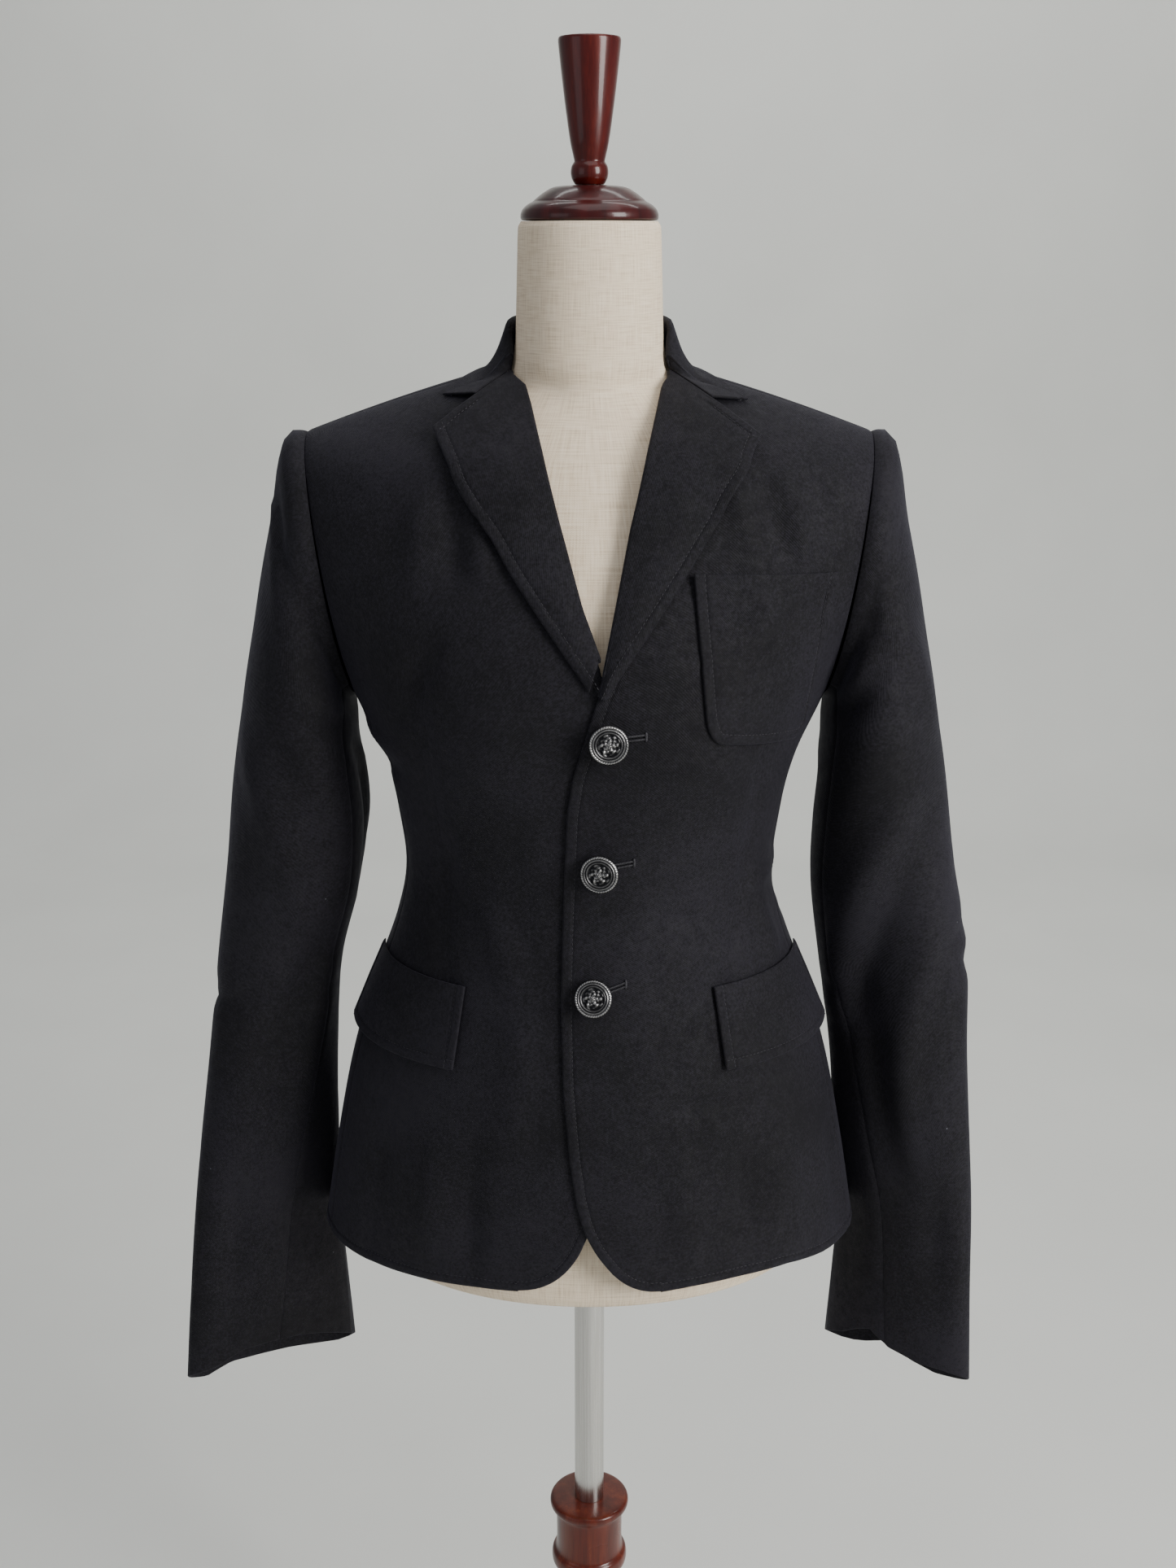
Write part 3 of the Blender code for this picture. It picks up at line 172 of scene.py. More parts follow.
def low_line(row, front):
    """Centre y and z, end x, y and z and arc of a row below the armhole."""
    if front:
        angle = row.seam_front
        depth = -row.front
        centre_z = row.front_z
    else:
        angle = 180.0 - row.seam_back
        depth = row.back
        centre_z = row.back_z
    turn = math.radians(angle)
    drop = (row.side_z - centre_z) * math.sin(turn) ** SLOPE_POWER
    end = [row.half_width * math.sin(turn), depth * math.cos(turn), centre_z + drop]
    return [depth, centre_z, *end, angle]


def high_line(row, depth):
    """The same values for a row that ends at the armhole."""
    end = armhole_point(row.angle, depth)
    return [row.centre_y, row.centre_z, end[0], end[1], end[2], row.arc]


def joint_line(row, front):
    """The row at which the side seam meets the armhole."""
    line = low_line(row, front)
    if front:
        line[2:5] = armhole_point(FRONT_SEAM_TOP, -ARMHOLE_FRONT)
    else:
        line[2:5] = armhole_point(BACK_SEAM_TOP, ARMHOLE_BACK)
    return line


def body_lines():
    """All rows, from the front hem over the shoulder seam to the back hem."""
    lines = [low_line(row, True) for row in LOW_ROWS[:-1]]
    lines.append(joint_line(LOW_ROWS[-1], True))
    lines += [high_line(row, -ARMHOLE_FRONT) for row in FRONT_HIGH_ROWS]
    lines.append(high_line(SHOULDER_ROW, 0.0))
    lines += [high_line(row, ARMHOLE_BACK) for row in reversed(BACK_HIGH_ROWS)]
    lines.append(joint_line(LOW_ROWS[-1], False))
    lines += [low_line(row, False) for row in reversed(LOW_ROWS[:-1])]
    return np.array(lines)


BODY = body_lines()
JOINT = len(LOW_ROWS) - 1
SHOULDER = JOINT + len(FRONT_HIGH_ROWS) + 1
BACK_JOINT = SHOULDER + len(BACK_HIGH_ROWS) + 1
BACK_HEM = BACK_JOINT + JOINT


def body_point(across, row):
    """A point of the body surface: across is 0 at the centre and 1 at the seam or armhole."""
    across = np.asarray(across, float)
    centre_y, centre_z, end_x, end_y, end_z, arc = np.moveaxis(smooth_rows(BODY, row), -1, 0)
    arc = radians(arc)
    share = np.sin(arc * across) / np.sin(arc)
    x = end_x * share
    bend = (1 - np.cos(arc * across)) / (1 - np.cos(arc))
    y = centre_y + (end_y - centre_y) * bend
    z = centre_z + (end_z - centre_z) * np.abs(share) ** SLOPE_POWER
    fullness = np.exp(-((np.abs(x) - BUST_X) / BUST_SPREAD_X) ** 2 - ((z - BUST_Z) / BUST_SPREAD_Z) ** 2)
    at_front = np.asarray(row) < SHOULDER
    y = y - np.where(at_front, BUST_RISE * fullness * (1 - across ** 4), 0.0)
    return np.stack([x, y, z], axis=-1)


def surface_normal(surface, first, second):
    """Unit normal of a surface function of two values, from small steps to both sides."""
    step = 1e-3
    first = np.asarray(first, float)
    second = np.asarray(second, float)
    along_first = surface(first + step, second) - surface(first - step, second)
    along_second = surface(first, second + step) - surface(first, second - step)
    normal = np.cross(along_first, along_second)
    return normal / np.linalg.norm(normal, axis=-1, keepdims=True)


def across_at_x(x, row):
    """The across value of a given x in a row."""
    line = smooth_rows(BODY, row)
    arc = radians(line[..., 5])
    return np.arcsin(np.clip(x * np.sin(arc) / line[..., 2], -1.0, 1.0)) / arc


def halved(low, high, passed):
    """Places between low and high at which a test stops being true, closed in from both ends."""
    for _ in range(HALVINGS):
        middle = (low + high) / 2
        further = passed(middle)
        low = np.where(further, middle, low)
        high = np.where(further, high, middle)
    return low, high


def body_place(x, other, first, last, passed):
    """Across and row values of the body at x, in the row from first to last that reaches the other value."""
    x = np.asarray(x, float)
    other = np.asarray(other, float)
    shape = np.broadcast(x, other).shape
    low, high = halved(np.full(shape, float(first)), np.full(shape, float(last)),
                       lambda row: passed(body_point(across_at_x(x, row), row), other))
    row = (low + high) / 2
    return across_at_x(x, row), row


def front_place(x, z):
    """Across and row values of the front seen from the front at x and z."""
    return body_place(x, z, 0, SHOULDER, lambda point, height: point[..., 2] < height)


def back_place(x, z):
    """Across and row values of the back seen from behind at x and z."""
    return body_place(x, z, SHOULDER, BACK_HEM, lambda point, height: point[..., 2] > height)


def top_place(x, y):
    """Across and row values of the body seen from above at x and y, near the shoulders."""
    return body_place(x, y, JOINT + 1, BACK_JOINT - 1, lambda point, depth: point[..., 1] < depth)


def lap_lift(x, z):
    """How far the upper front is raised where it lies over the lower one."""
    near = 1 - smoothstep((x - LAP_FULL_X) / (LAP_FADE_X - LAP_FULL_X))
    below_break = 1 - smoothstep((z - BREAK_Z - LAP_TOP_RISE) / LAP_TOP_FADE)
    return LAP_LIFT * near * below_break


def low_values(row):
    """Side height, half width, depths, seam angles and centre heights at a row below the armhole."""
    table = [[r.side_z, r.half_width, r.front, r.back, r.seam_front, r.seam_back, r.front_z, r.back_z]
             for r in LOW_ROWS]
    return np.moveaxis(smooth_rows(table, row), -1, 0)


def ring_point(angle, row):
    """The body below the armhole at an angle in degrees from the centre front."""
    side_z, half, front, back, _, _, front_z, back_z = low_values(row)
    angle = radians(angle)
    at_front = np.cos(angle) > 0
    depth = np.where(at_front, front, back)
    centre_z = np.where(at_front, front_z, back_z)
    sine = np.sin(angle)
    z = centre_z + (side_z - centre_z) * sine ** SLOPE_POWER
    return np.stack([half * sine, -depth * np.cos(angle), z], axis=-1)


def side_point(across, row):
    """The side panel: across is -1 at its front seam and 1 at its back seam."""
    across = np.asarray(across, float)
    row = np.asarray(row, float)
    share = ((across + 1) / 2)[..., None]
    lower = seam_ring(share, row)
    top_row = np.full_like(lower[..., 0], JOINT)
    turn = -FRONT_SEAM_TOP + (FRONT_SEAM_TOP + BACK_SEAM_TOP) * share[..., 0]
    armhole = armhole_point(turn, np.where(turn < 0, ARMHOLE_FRONT, ARMHOLE_BACK))
    rise = smoothstep((row - JOINT + SIDE_BLEND) / SIDE_BLEND)
    return lower + (armhole - seam_ring(share, top_row)) * np.asarray(rise)[..., None]


def seam_ring(share, row):
    """The ring between the side seams, moved so that it meets both of them."""
    _, _, _, _, seam_front, seam_back, _, _ = low_values(row)
    angle = seam_front + (seam_back - seam_front) * share[..., 0]
    front_error = body_point(np.ones_like(row), row) - ring_point(seam_front, row)
    back_error = body_point(np.ones_like(row), BACK_HEM - row) - ring_point(seam_back, row)
    return ring_point(angle, row) + front_error * (1 - share) + back_error * share


# The front edge of the upper (left) front and of the lower (right) one, as seen from the front:
# x towards the piece's own side, by height.
Edge = namedtuple("Edge", "z left right")
FRONT_EDGE = (
    Edge(0.690, 0.0010, 0.0015),
    Edge(0.729, 0.0010, 0.0014),
    Edge(0.746, -0.0018, 0.0008),
    Edge(0.777, -0.0090, -0.0070),
    Edge(0.810, -0.0135, -0.0140),
    Edge(0.860, -0.0175, -0.0190),
    Edge(0.920, -0.0187, -0.0200),
    Edge(0.990, -0.0168, -0.0200),
    Edge(1.053, -0.0144, -0.0195),
    Edge(1.077, -0.0110, -0.0185),
    Edge(1.098, -0.0048, -0.0170),
    Edge(1.130, 0.0053, -0.0130),
    Edge(BREAK_Z, 0.0088, -0.0088),
    Edge(1.184, 0.0158, 0.0043),
    Edge(1.232, 0.0253, 0.0178),
    Edge(1.274, 0.0356, 0.0290),
    Edge(1.301, 0.0431, 0.0368),
    Edge(1.311, 0.0460, 0.0405),
    Edge(NECK_Z, NECK_HALF, NECK_HALF),
)


def front_edge_x(side, z):
    """The edge of a front at a height: the roll of the lapel above the break, the rounded corner below."""
    heights = [edge.z for edge in FRONT_EDGE]
    offsets = [edge.left if side > 0 else edge.right for edge in FRONT_EDGE]
    x = np.interp(z, heights, offsets)
    rise = np.clip((z - LOW_ROWS[0].front_z) / CORNER_HEIGHT, 0.0, 1.0)
    return x + CORNER_WIDTH * (1 - np.sqrt(1 - (1 - rise) ** 2))


def front_edge_across(side, row):
    """Where each row of a front begins."""
    def outside(across):
        point = body_point(across, row)
        return point[..., 0] < front_edge_x(side, point[..., 2])
    shape = np.shape(row)
    return halved(np.full(shape, EDGE_SEARCH_FROM), np.full(shape, EDGE_SEARCH_TO), outside)[1]


def back_edge_across(row):
    """Where each row of a back begins: the centre seam, or the neckline near the top."""
    def in_neck(across):
        point = body_point(across, row)
        return (point[..., 0] / NECK_HALF) ** 2 + (point[..., 1] / NECK_BACK) ** 2 < 1
    start = across_at_x(GAP / 2, row)
    neck = halved(start, np.full(np.shape(row), EDGE_SEARCH_TO), in_neck)[1]
    return np.where(in_neck(start), neck, start)


def seam_inset(row):
    """Half the gap of a side seam, wider under the arm where the two walls meet at an angle."""
    from_joint = np.minimum(np.abs(row - JOINT), np.abs(row - BACK_JOINT))
    return SEAM_INSET * (1 + UNDERARM_INSET * (1 - smoothstep(from_joint / UNDERARM_ROWS)))


def seam_across(row):
    """The across value that stops a little short of the side seam or armhole."""
    # The length of a whole across value, from the last hundredth of it
    length = np.linalg.norm(body_point(1.0, row) - body_point(0.99, row), axis=-1) * 100
    return 1 - seam_inset(row) / length


# Creases. On the body they are seen from the front or the back, as x towards the piece's
# own side and z; on a sleeve they are an angle from its outer point and a ring. Each bends through a
# middle point. depth is positive for a ridge and negative for a valley.
Fold = namedtuple("Fold", "name a0 b0 a1 b1 a2 b2 depth width")
FRONT_FOLDS = {
    1: (
        Fold("chest ridge by lapel", 0.086, 1.270, 0.095, 1.240, 0.105, 1.209, 0.0016, 0.010),
        Fold("chest valley", 0.105, 1.266, 0.115, 1.234, 0.122, 1.204, -0.0015, 0.009),
        Fold("chest ridge by arm", 0.124, 1.263, 0.132, 1.235, 0.138, 1.207, 0.0015, 0.008),
        Fold("pocket ridge", 0.107, 1.196, 0.108, 1.176, 0.108, 1.150, 0.0013, 0.011),
        Fold("pocket valley", 0.144, 1.198, 0.141, 1.172, 0.136, 1.145, -0.0012, 0.009),
        Fold("under lapel", 0.030, 1.140, 0.047, 1.148, 0.068, 1.146, 0.0010, 0.007),
        Fold("bust pull", 0.036, 1.072, 0.070, 1.082, 0.098, 1.066, 0.0009, 0.007),
        Fold("waist pull", 0.040, 0.986, 0.062, 0.973, 0.089, 0.969, -0.0008, 0.006),
        Fold("side ridge", 0.112, 0.972, 0.122, 0.947, 0.129, 0.923, 0.0021, 0.010),
        Fold("side valley", 0.126, 0.985, 0.131, 0.962, 0.140, 0.938, -0.0015, 0.007),
        Fold("waist ridge", 0.097, 0.968, 0.115, 0.982, 0.134, 0.986, 0.0012, 0.007),
        Fold("hip valley", 0.054, 0.836, 0.078, 0.840, 0.104, 0.824, -0.0013, 0.006),
        Fold("hip ridge", 0.050, 0.822, 0.076, 0.826, 0.100, 0.812, 0.0010, 0.008),
        Fold("skirt ridge by edge", 0.060, 0.822, 0.064, 0.771, 0.074, 0.706, 0.0014, 0.013),
        Fold("skirt valley", 0.111, 0.800, 0.110, 0.762, 0.115, 0.704, -0.0018, 0.010),
        Fold("skirt ridge", 0.135, 0.806, 0.138, 0.765, 0.147, 0.704, 0.0021, 0.012),
        Fold("skirt valley by seam", 0.170, 0.800, 0.177, 0.755, 0.186, 0.700, -0.0017, 0.010),
    ),
    -1: (
        Fold("chest ridge", 0.104, 1.252, 0.108, 1.219, 0.110, 1.182, 0.0015, 0.010),
        Fold("chest valley", 0.089, 1.262, 0.085, 1.231, 0.084, 1.192, -0.0016, 0.009),
        Fold("chest ridge by lapel", 0.070, 1.236, 0.068, 1.218, 0.063, 1.194, 0.0012, 0.009),
        Fold("bust valley", 0.094, 1.172, 0.108, 1.138, 0.124, 1.100, -0.0017, 0.010),
        Fold("armhole drag", 0.163, 1.092, 0.142, 1.082, 0.118, 1.083, 0.0015, 0.007),
        Fold("lower drag", 0.158, 1.070, 0.140, 1.062, 0.122, 1.066, -0.0012, 0.006),
        Fold("waist valley", 0.088, 1.044, 0.093, 0.998, 0.091, 0.958, -0.0015, 0.009),
        Fold("waist ridge", 0.074, 0.992, 0.057, 0.950, 0.046, 0.906, 0.0019, 0.012),
        Fold("skirt ridge", 0.046, 0.910, 0.048, 0.868, 0.053, 0.800, 0.0018, 0.013),
        Fold("skirt valley", 0.077, 0.830, 0.082, 0.768, 0.083, 0.704, -0.0020, 0.011),
        Fold("skirt ridge by seam", 0.106, 0.817, 0.110, 0.768, 0.118, 0.702, 0.0018, 0.011),
        Fold("skirt valley by seam", 0.139, 0.817, 0.146, 0.767, 0.155, 0.700, -0.0019, 0.010),
        Fold("centre ridge", 0.036, 1.076, 0.033, 1.040, 0.036, 0.998, 0.0008, 0.008),
    ),
}
BACK_FOLDS = {
    1: (
        Fold("blade ridge", 0.118, 1.235, 0.126, 1.190, 0.130, 1.135, 0.0020, 0.012),
        Fold("blade valley", 0.097, 1.220, 0.101, 1.170, 0.098, 1.120, -0.0013, 0.010),
        Fold("waist pull", 0.020, 1.012, 0.050, 1.000, 0.085, 1.008, -0.0010, 0.007),
        Fold("lower waist pull", 0.030, 0.975, 0.062, 0.966, 0.098, 0.977, 0.0012, 0.008),
        Fold("back length", 0.060, 0.950, 0.067, 0.880, 0.070, 0.800, 0.0015, 0.013),
        Fold("skirt valley", 0.095, 0.850, 0.104, 0.775, 0.108, 0.702, -0.0022, 0.012),
        Fold("skirt ridge", 0.135, 0.840, 0.144, 0.770, 0.152, 0.700, 0.0022, 0.012),
        Fold("centre skirt valley", 0.042, 0.800, 0.046, 0.750, 0.043, 0.702, -0.0014, 0.010),
        Fold("yoke drag", 0.050, 1.272, 0.085, 1.262, 0.125, 1.250, 0.0009, 0.008),
    ),
    -1: (
        Fold("blade ridge", 0.112, 1.225, 0.122, 1.178, 0.128, 1.142, 0.0017, 0.010),
        Fold("blade valley", 0.090, 1.230, 0.092, 1.185, 0.094, 1.108, -0.0016, 0.011),
        Fold("waist pull", 0.025, 1.020, 0.052, 1.013, 0.092, 1.024, 0.0010, 0.007),
        Fold("lower waist pull", 0.022, 0.988, 0.058, 0.979, 0.088, 0.984, -0.0013, 0.008),
        Fold("back length", 0.048, 0.930, 0.054, 0.870, 0.060, 0.770, -0.0014, 0.012),
        Fold("skirt ridge", 0.088, 0.860, 0.094, 0.790, 0.100, 0.702, 0.0021, 0.012),
        Fold("skirt valley", 0.126, 0.830, 0.133, 0.765, 0.140, 0.702, -0.0020, 0.011),
        Fold("yoke drag", 0.060, 1.262, 0.092, 1.255, 0.120, 1.236, -0.0010, 0.008),
    ),
}
SLEEVE_FOLDS = {
    1: (
        Fold("head drag", 72.0, 2.0, 62.0, 2.4, 40.0, 2.8, -0.0014, 0.007),
        Fold("head ridge", 88.0, 2.6, 64.0, 3.6, 22.0, 5.4, 0.0021, 0.012),
        Fold("armpit drag", 150.0, 2.5, 118.0, 3.0, 92.0, 3.1, 0.0015, 0.006),
        Fold("armpit valley", 150.0, 3.3, 120.0, 3.6, 95.0, 4.2, -0.0016, 0.008),
        Fold("upper ridge", 60.0, 5.6, 112.0, 7.2, 142.0, 8.7, 0.0026, 0.012),
        Fold("upper valley", 34.0, 6.0, 88.0, 7.6, 122.0, 9.0, -0.0024, 0.011),
        Fold("elbow ridge", 14.0, 6.7, 70.0, 8.6, 62.0, 10.4, 0.0026, 0.012),
        Fold("elbow valley", 112.0, 7.9, 92.0, 9.1, 76.0, 10.8, -0.0018, 0.010),
        Fold("outer break", 330.0, 7.6, 352.0, 8.1, 20.0, 8.3, -0.0018, 0.009),
        Fold("forearm ridge", 120.0, 9.6, 108.0, 11.0, 112.0, 12.4, 0.0016, 0.012),
        Fold("forearm valley", 40.0, 10.4, 48.0, 11.4, 44.0, 12.6, -0.0016, 0.012),
        Fold("back elbow", 285.0, 7.0, 262.0, 8.0, 250.0, 9.2, 0.0022, 0.011),
        Fold("back forearm", 268.0, 9.4, 282.0, 10.6, 276.0, 12.2, -0.0018, 0.012),
        Fold("inner pull", 196.0, 4.0, 186.0, 5.2, 200.0, 6.8, -0.0014, 0.008),
    ),
    -1: (
        Fold("head drag", 22.0, 2.2, 48.0, 2.5, 74.0, 2.9, -0.0016, 0.006),
        Fold("head drag ridge", 18.0, 2.5, 46.0, 2.9, 78.0, 3.5, 0.0014, 0.007),
        Fold("armpit drag", 152.0, 3.0, 124.0, 3.6, 100.0, 4.4, 0.0015, 0.007),
        Fold("upper valley", 60.0, 4.8, 88.0, 5.5, 116.0, 6.6, -0.0016, 0.010),
        Fold("upper ridge", 28.0, 5.2, 62.0, 6.2, 100.0, 7.6, 0.0017, 0.011),
        Fold("under twist", 158.0, 4.2, 176.0, 5.4, 168.0, 7.2, -0.0018, 0.007),
        Fold("under ridge", 178.0, 4.4, 192.0, 5.6, 186.0, 7.4, 0.0016, 0.007),
        Fold("elbow valley", 118.0, 7.4, 92.0, 8.4, 52.0, 9.2, -0.0023, 0.011),
        Fold("elbow ridge", 134.0, 7.9, 108.0, 9.0, 72.0, 10.2, 0.0021, 0.012),
        Fold("outer break", 338.0, 8.0, 4.0, 8.4, 30.0, 8.3, -0.0015, 0.009),
        Fold("forearm ridge", 84.0, 10.0, 80.0, 11.2, 86.0, 12.6, 0.0015, 0.013),
        Fold("forearm valley", 46.0, 10.2, 52.0, 11.6, 48.0, 12.8, -0.0013, 0.011),
        Fold("back elbow", 282.0, 7.4, 258.0, 8.2, 252.0, 9.0, 0.0020, 0.010),
        Fold("back forearm", 276.0, 9.8, 264.0, 11.0, 270.0, 12.4, -0.0016, 0.012),
    ),
}
FOLD_SEGMENTS = 8
CREASE_DEPTH = 2.1


def fold_line(fold, place):
    """A crease as points in space, from its places on a surface, bending through the middle one."""
    share = np.linspace(0.0, 1.0, FOLD_SEGMENTS + 1)
    first = np.array([fold.a0, fold.b0])[:, None]
    middle = np.array([fold.a1, fold.b1])[:, None]
    last = np.array([fold.a2, fold.b2])[:, None]
    bend = 2 * middle - (first + last) / 2
    a, b = (1 - share) ** 2 * first + 2 * share * (1 - share) * bend + share ** 2 * last
    return place(a, b), fold.depth, fold.width


def body_fold_lines(side):
    """The creases of one half of the body as points in space."""
    return [fold_line(fold, lambda x, z: body_point(*place(x, z)))
            for folds, place in ((FRONT_FOLDS, front_place), (BACK_FOLDS, back_place))
            for fold in folds[side]]


BODY_LINES = {side: body_fold_lines(side) for side in (1, -1)}


def nearest_on_line(points, line):
    """Squared distance of points to a line of points, and how far along it they are as a share."""
    best = np.full(points.shape[:-1], np.inf)
    share = np.zeros(points.shape[:-1])
    for k, (start, end) in enumerate(zip(line, line[1:])):
        step = end - start
        along = np.clip((points - start) @ step / max(step @ step, 1e-12), 0.0, 1.0)
        gap = ((points - start - along[..., None] * step) ** 2).sum(-1)
        nearer = gap < best
        best = np.where(nearer, gap, best)
        share = np.where(nearer, (k + along) / (len(line) - 1), share)
    return best, share


# Each crease tapers to its ends and swells and thins along its length, each in its own way
TAPER_POWER = 0.75
SWELL = 0.22
SWELL_WAVES = 7.0
SWELL_SHIFT = 1.7


def crease_height(points, lines):
    """How far creases raise or sink the points of a surface, tapering and uneven along each crease."""
    height = np.zeros(points.shape[:-1])
    for number, (line, depth, width) in enumerate(lines):
        near, share = nearest_on_line(points, line)
        swell = 1 + SWELL * np.sin(SWELL_WAVES * share + SWELL_SHIFT * number)
        taper = np.sin(math.pi * share) ** TAPER_POWER * swell
        height += CREASE_DEPTH * depth * taper * np.exp(-near / width ** 2)
    return height


# Creases fade out near the centre of the front and back, where other pieces lie close
CALM_FROM = 0.018
CALM_WIDTH = 0.030


def body_lift(side, point, row):
    """How far a point of the body stands off the plain surface: creases, and the lap of the upper front."""
    calm = smoothstep((np.abs(point[..., 0]) - CALM_FROM) / CALM_WIDTH)
    lift = crease_height(point, BODY_LINES[side]) * calm
    if side > 0:
        lift = lift + np.where(row < SHOULDER, lap_lift(point[..., 0], point[..., 2]), 0.0)
    return lift


def front_surface(side):
    """The front and back of one side as a function of across and row, with its creases and lap."""
    def surface(across, row):
        point = body_point(across, row)
        normal = surface_normal(body_point, across, row)
        return point + normal * body_lift(side, point, np.asarray(row))[..., None]
    return surface


def side_surface(side):
    """The side panel as a function of across and row, with the creases that reach it."""
    def surface(across, row):
        point = side_point(across, row)
        normal = surface_normal(side_point, across, row)
        return point + normal * crease_height(point, BODY_LINES[side])[..., None]
    return surface


# Sleeves. Each ring is an ellipse: its centre, the tilt of the line from its inner to its outer point,
# how far that line is turned forwards in plan, half its length, half the ring's depth,
# how much higher its front is than its middle, and the angles of the two seams from the outer point.
Ring = namedtuple("Ring", "name x y z tilt turn reach depth rise seam_front seam_back")
# The rings down to the upper arm are the same on both sides.
UPPER_RINGS = (
    Ring("head", 0.1812, 0.000, 1.1911, 79.2, 0.0, 0.0905, 0.0580, 0.0000, 150.5, 147.0),
    Ring("cap", 0.1852, 0.000, 1.1825, 77.0, 0.0, 0.0850, 0.0580, 0.0000, 150.0, 146.0),
    Ring("upper cap", 0.1885, 0.000, 1.1560, 70.0, 0.0, 0.0700, 0.0600, 0.0000, 148.0, 142.0),
    Ring("armpit", 0.1945, 0.000, 1.1175, 54.0, 0.0, 0.0530, 0.0620, 0.0000, 146.0, 138.0),
    Ring("upper arm", 0.1995, 0.001, 1.0765, 35.0, 3.0, 0.0465, 0.0600, 0.0000, 144.0, 134.0),
)
LEFT_RINGS = UPPER_RINGS + (
    Ring("biceps", 0.2045, 0.003, 1.0270, 21.0, 8.0, 0.0475, 0.0530, 0.0000, 142.0, 130.0),
    Ring("above elbow", 0.2100, 0.006, 0.9700, 12.0, 15.0, 0.0500, 0.0440, 0.0000, 140.0, 126.0),
    Ring("elbow", 0.2213, 0.010, 0.9050, 8.0, 22.0, 0.0530, 0.0370, 0.0000, 134.0, 120.0),
    Ring("below elbow", 0.2290, 0.010, 0.8300, 5.0, 28.0, 0.0505, 0.0340, 0.0000, 118.0, 112.0),
    Ring("forearm", 0.2345, 0.007, 0.7600, 3.0, 31.0, 0.0515, 0.0300, 0.0000, 104.0, 104.0),
    Ring("lower forearm", 0.2410, 0.011, 0.7000, 4.0, 36.0, 0.0525, 0.0255, 0.0020, 96.0, 98.0),
    Ring("above cuff", 0.2402, 0.007, 0.6350, 3.0, 36.0, 0.0560, 0.0230, 0.0060, 92.0, 94.0),
    Ring("cuff", 0.2396, 0.002, 0.5690, 2.0, 35.0, 0.0594, 0.0210, 0.0180, 90.0, 92.0),
)
RIGHT_RINGS = UPPER_RINGS + (
    Ring("biceps", 0.2045, 0.003, 1.0270, 21.0, 8.0, 0.0472, 0.0530, 0.0000, 142.0, 130.0),
    Ring("above elbow", 0.2120, 0.006, 0.9700, 12.0, 15.0, 0.0462, 0.0440, 0.0000, 140.0, 126.0),
    Ring("elbow", 0.2255, 0.010, 0.9050, 8.0, 22.0, 0.0435, 0.0370, 0.0000, 134.0, 120.0),
    Ring("below elbow", 0.2340, 0.010, 0.8300, 5.0, 28.0, 0.0465, 0.0340, 0.0000, 118.0, 112.0),
    Ring("forearm", 0.2400, 0.007, 0.7600, 3.0, 31.0, 0.0520, 0.0300, 0.0000, 104.0, 104.0),
    Ring("lower forearm", 0.2448, 0.008, 0.7000, 4.0, 34.0, 0.0570, 0.0255, 0.0020, 96.0, 98.0),
    Ring("above cuff", 0.2463, 0.004, 0.6350, 3.0, 32.0, 0.0622, 0.0225, 0.0060, 92.0, 94.0),
    Ring("cuff", 0.2473, 0.001, 0.5690, 2.0, 28.0, 0.0663, 0.0190, 0.0180, 90.0, 92.0),
)
ARMHOLE_SEAMS = (151.0, 148.0)
SLEEVE_HEAD_CLEAR = 0.0004


def armhole_ring():
    """The sleeve's first ring, in line with the armhole."""
    half_height = (ARMHOLE_TOP_Z - ARMHOLE_BOTTOM_Z) / 2
    half_lean = (ARMHOLE_TOP_X - ARMHOLE_BOTTOM_X) / 2
    tilt = math.degrees(math.atan2(half_height, half_lean))
    reach = math.hypot(half_height, half_lean)
    depth = (ARMHOLE_FRONT + ARMHOLE_BACK) / 2
    return Ring("armhole", ARMHOLE_BOTTOM_X + half_lean, 0.0, ARMHOLE_BOTTOM_Z + half_height, tilt, 0.0,
                reach, depth, 0.0, *ARMHOLE_SEAMS)


def sleeve_surface(rings):
    """A sleeve as a function of the angle in degrees from the outer point and of the ring number."""
    table = [ring[1:] for ring in (armhole_ring(), *rings)]

    def surface(angle, ring):
        angle = np.asarray(angle, float)
        ring = np.asarray(ring, float)
        x, y, z, tilt, turn, reach, depth, rise, _, _ = np.moveaxis(smooth_rows(table, ring), -1, 0)
        angle = radians(angle)
        tilt = radians(tilt)
        turn = radians(turn)
        outward = reach * np.cos(angle)
        forward = depth * np.sin(angle)
        head = np.clip(1 - ring, 0.0, 1.0)
        clear = head * (SLEEVE_HEAD_CLEAR + WALL * (1 - np.cos(angle)))
        level = outward * np.cos(tilt)
        return np.stack([x + level * np.cos(turn) - forward * np.sin(turn) + clear * np.sin(tilt),
                         y - level * np.sin(turn) - forward * np.cos(turn),
                         z + outward * np.sin(tilt) - clear * np.cos(tilt) + rise * np.sin(angle)], axis=-1)
    return surface, table


# Lapels and the ends of the collar, seen from the front, for each side
Corner = namedtuple("Corner", "x z")
Lapel = namedtuple("Lapel", "tip roll_top roll_foot foot notch collar_tip_x collar_tip_y")
LAPELS = {
    1: Lapel(Corner(0.1067, 1.2800), Corner(0.0500, 1.3185), Corner(0.0088, BREAK_Z),
             Corner(0.0068, 1.1300), 0.46, 0.1025, -0.0244),
    -1: Lapel(Corner(0.0980, 1.2840), Corner(0.0490, 1.3185), Corner(-0.0066, 1.1520),
              Corner(-0.0020, 1.1345), 0.45, 0.0951, -0.0224),
}
LAPEL_BULGE = 0.0030
LAPEL_CLEAR = 0.0004
LAPEL_LIFT = WALL + LAY + LAPEL_CLEAR
LAPEL_ROLL_LIFT = 0.0020
LAPEL_EDGE_LIFT = 0.0034
GORGE_GAP = 0.0006


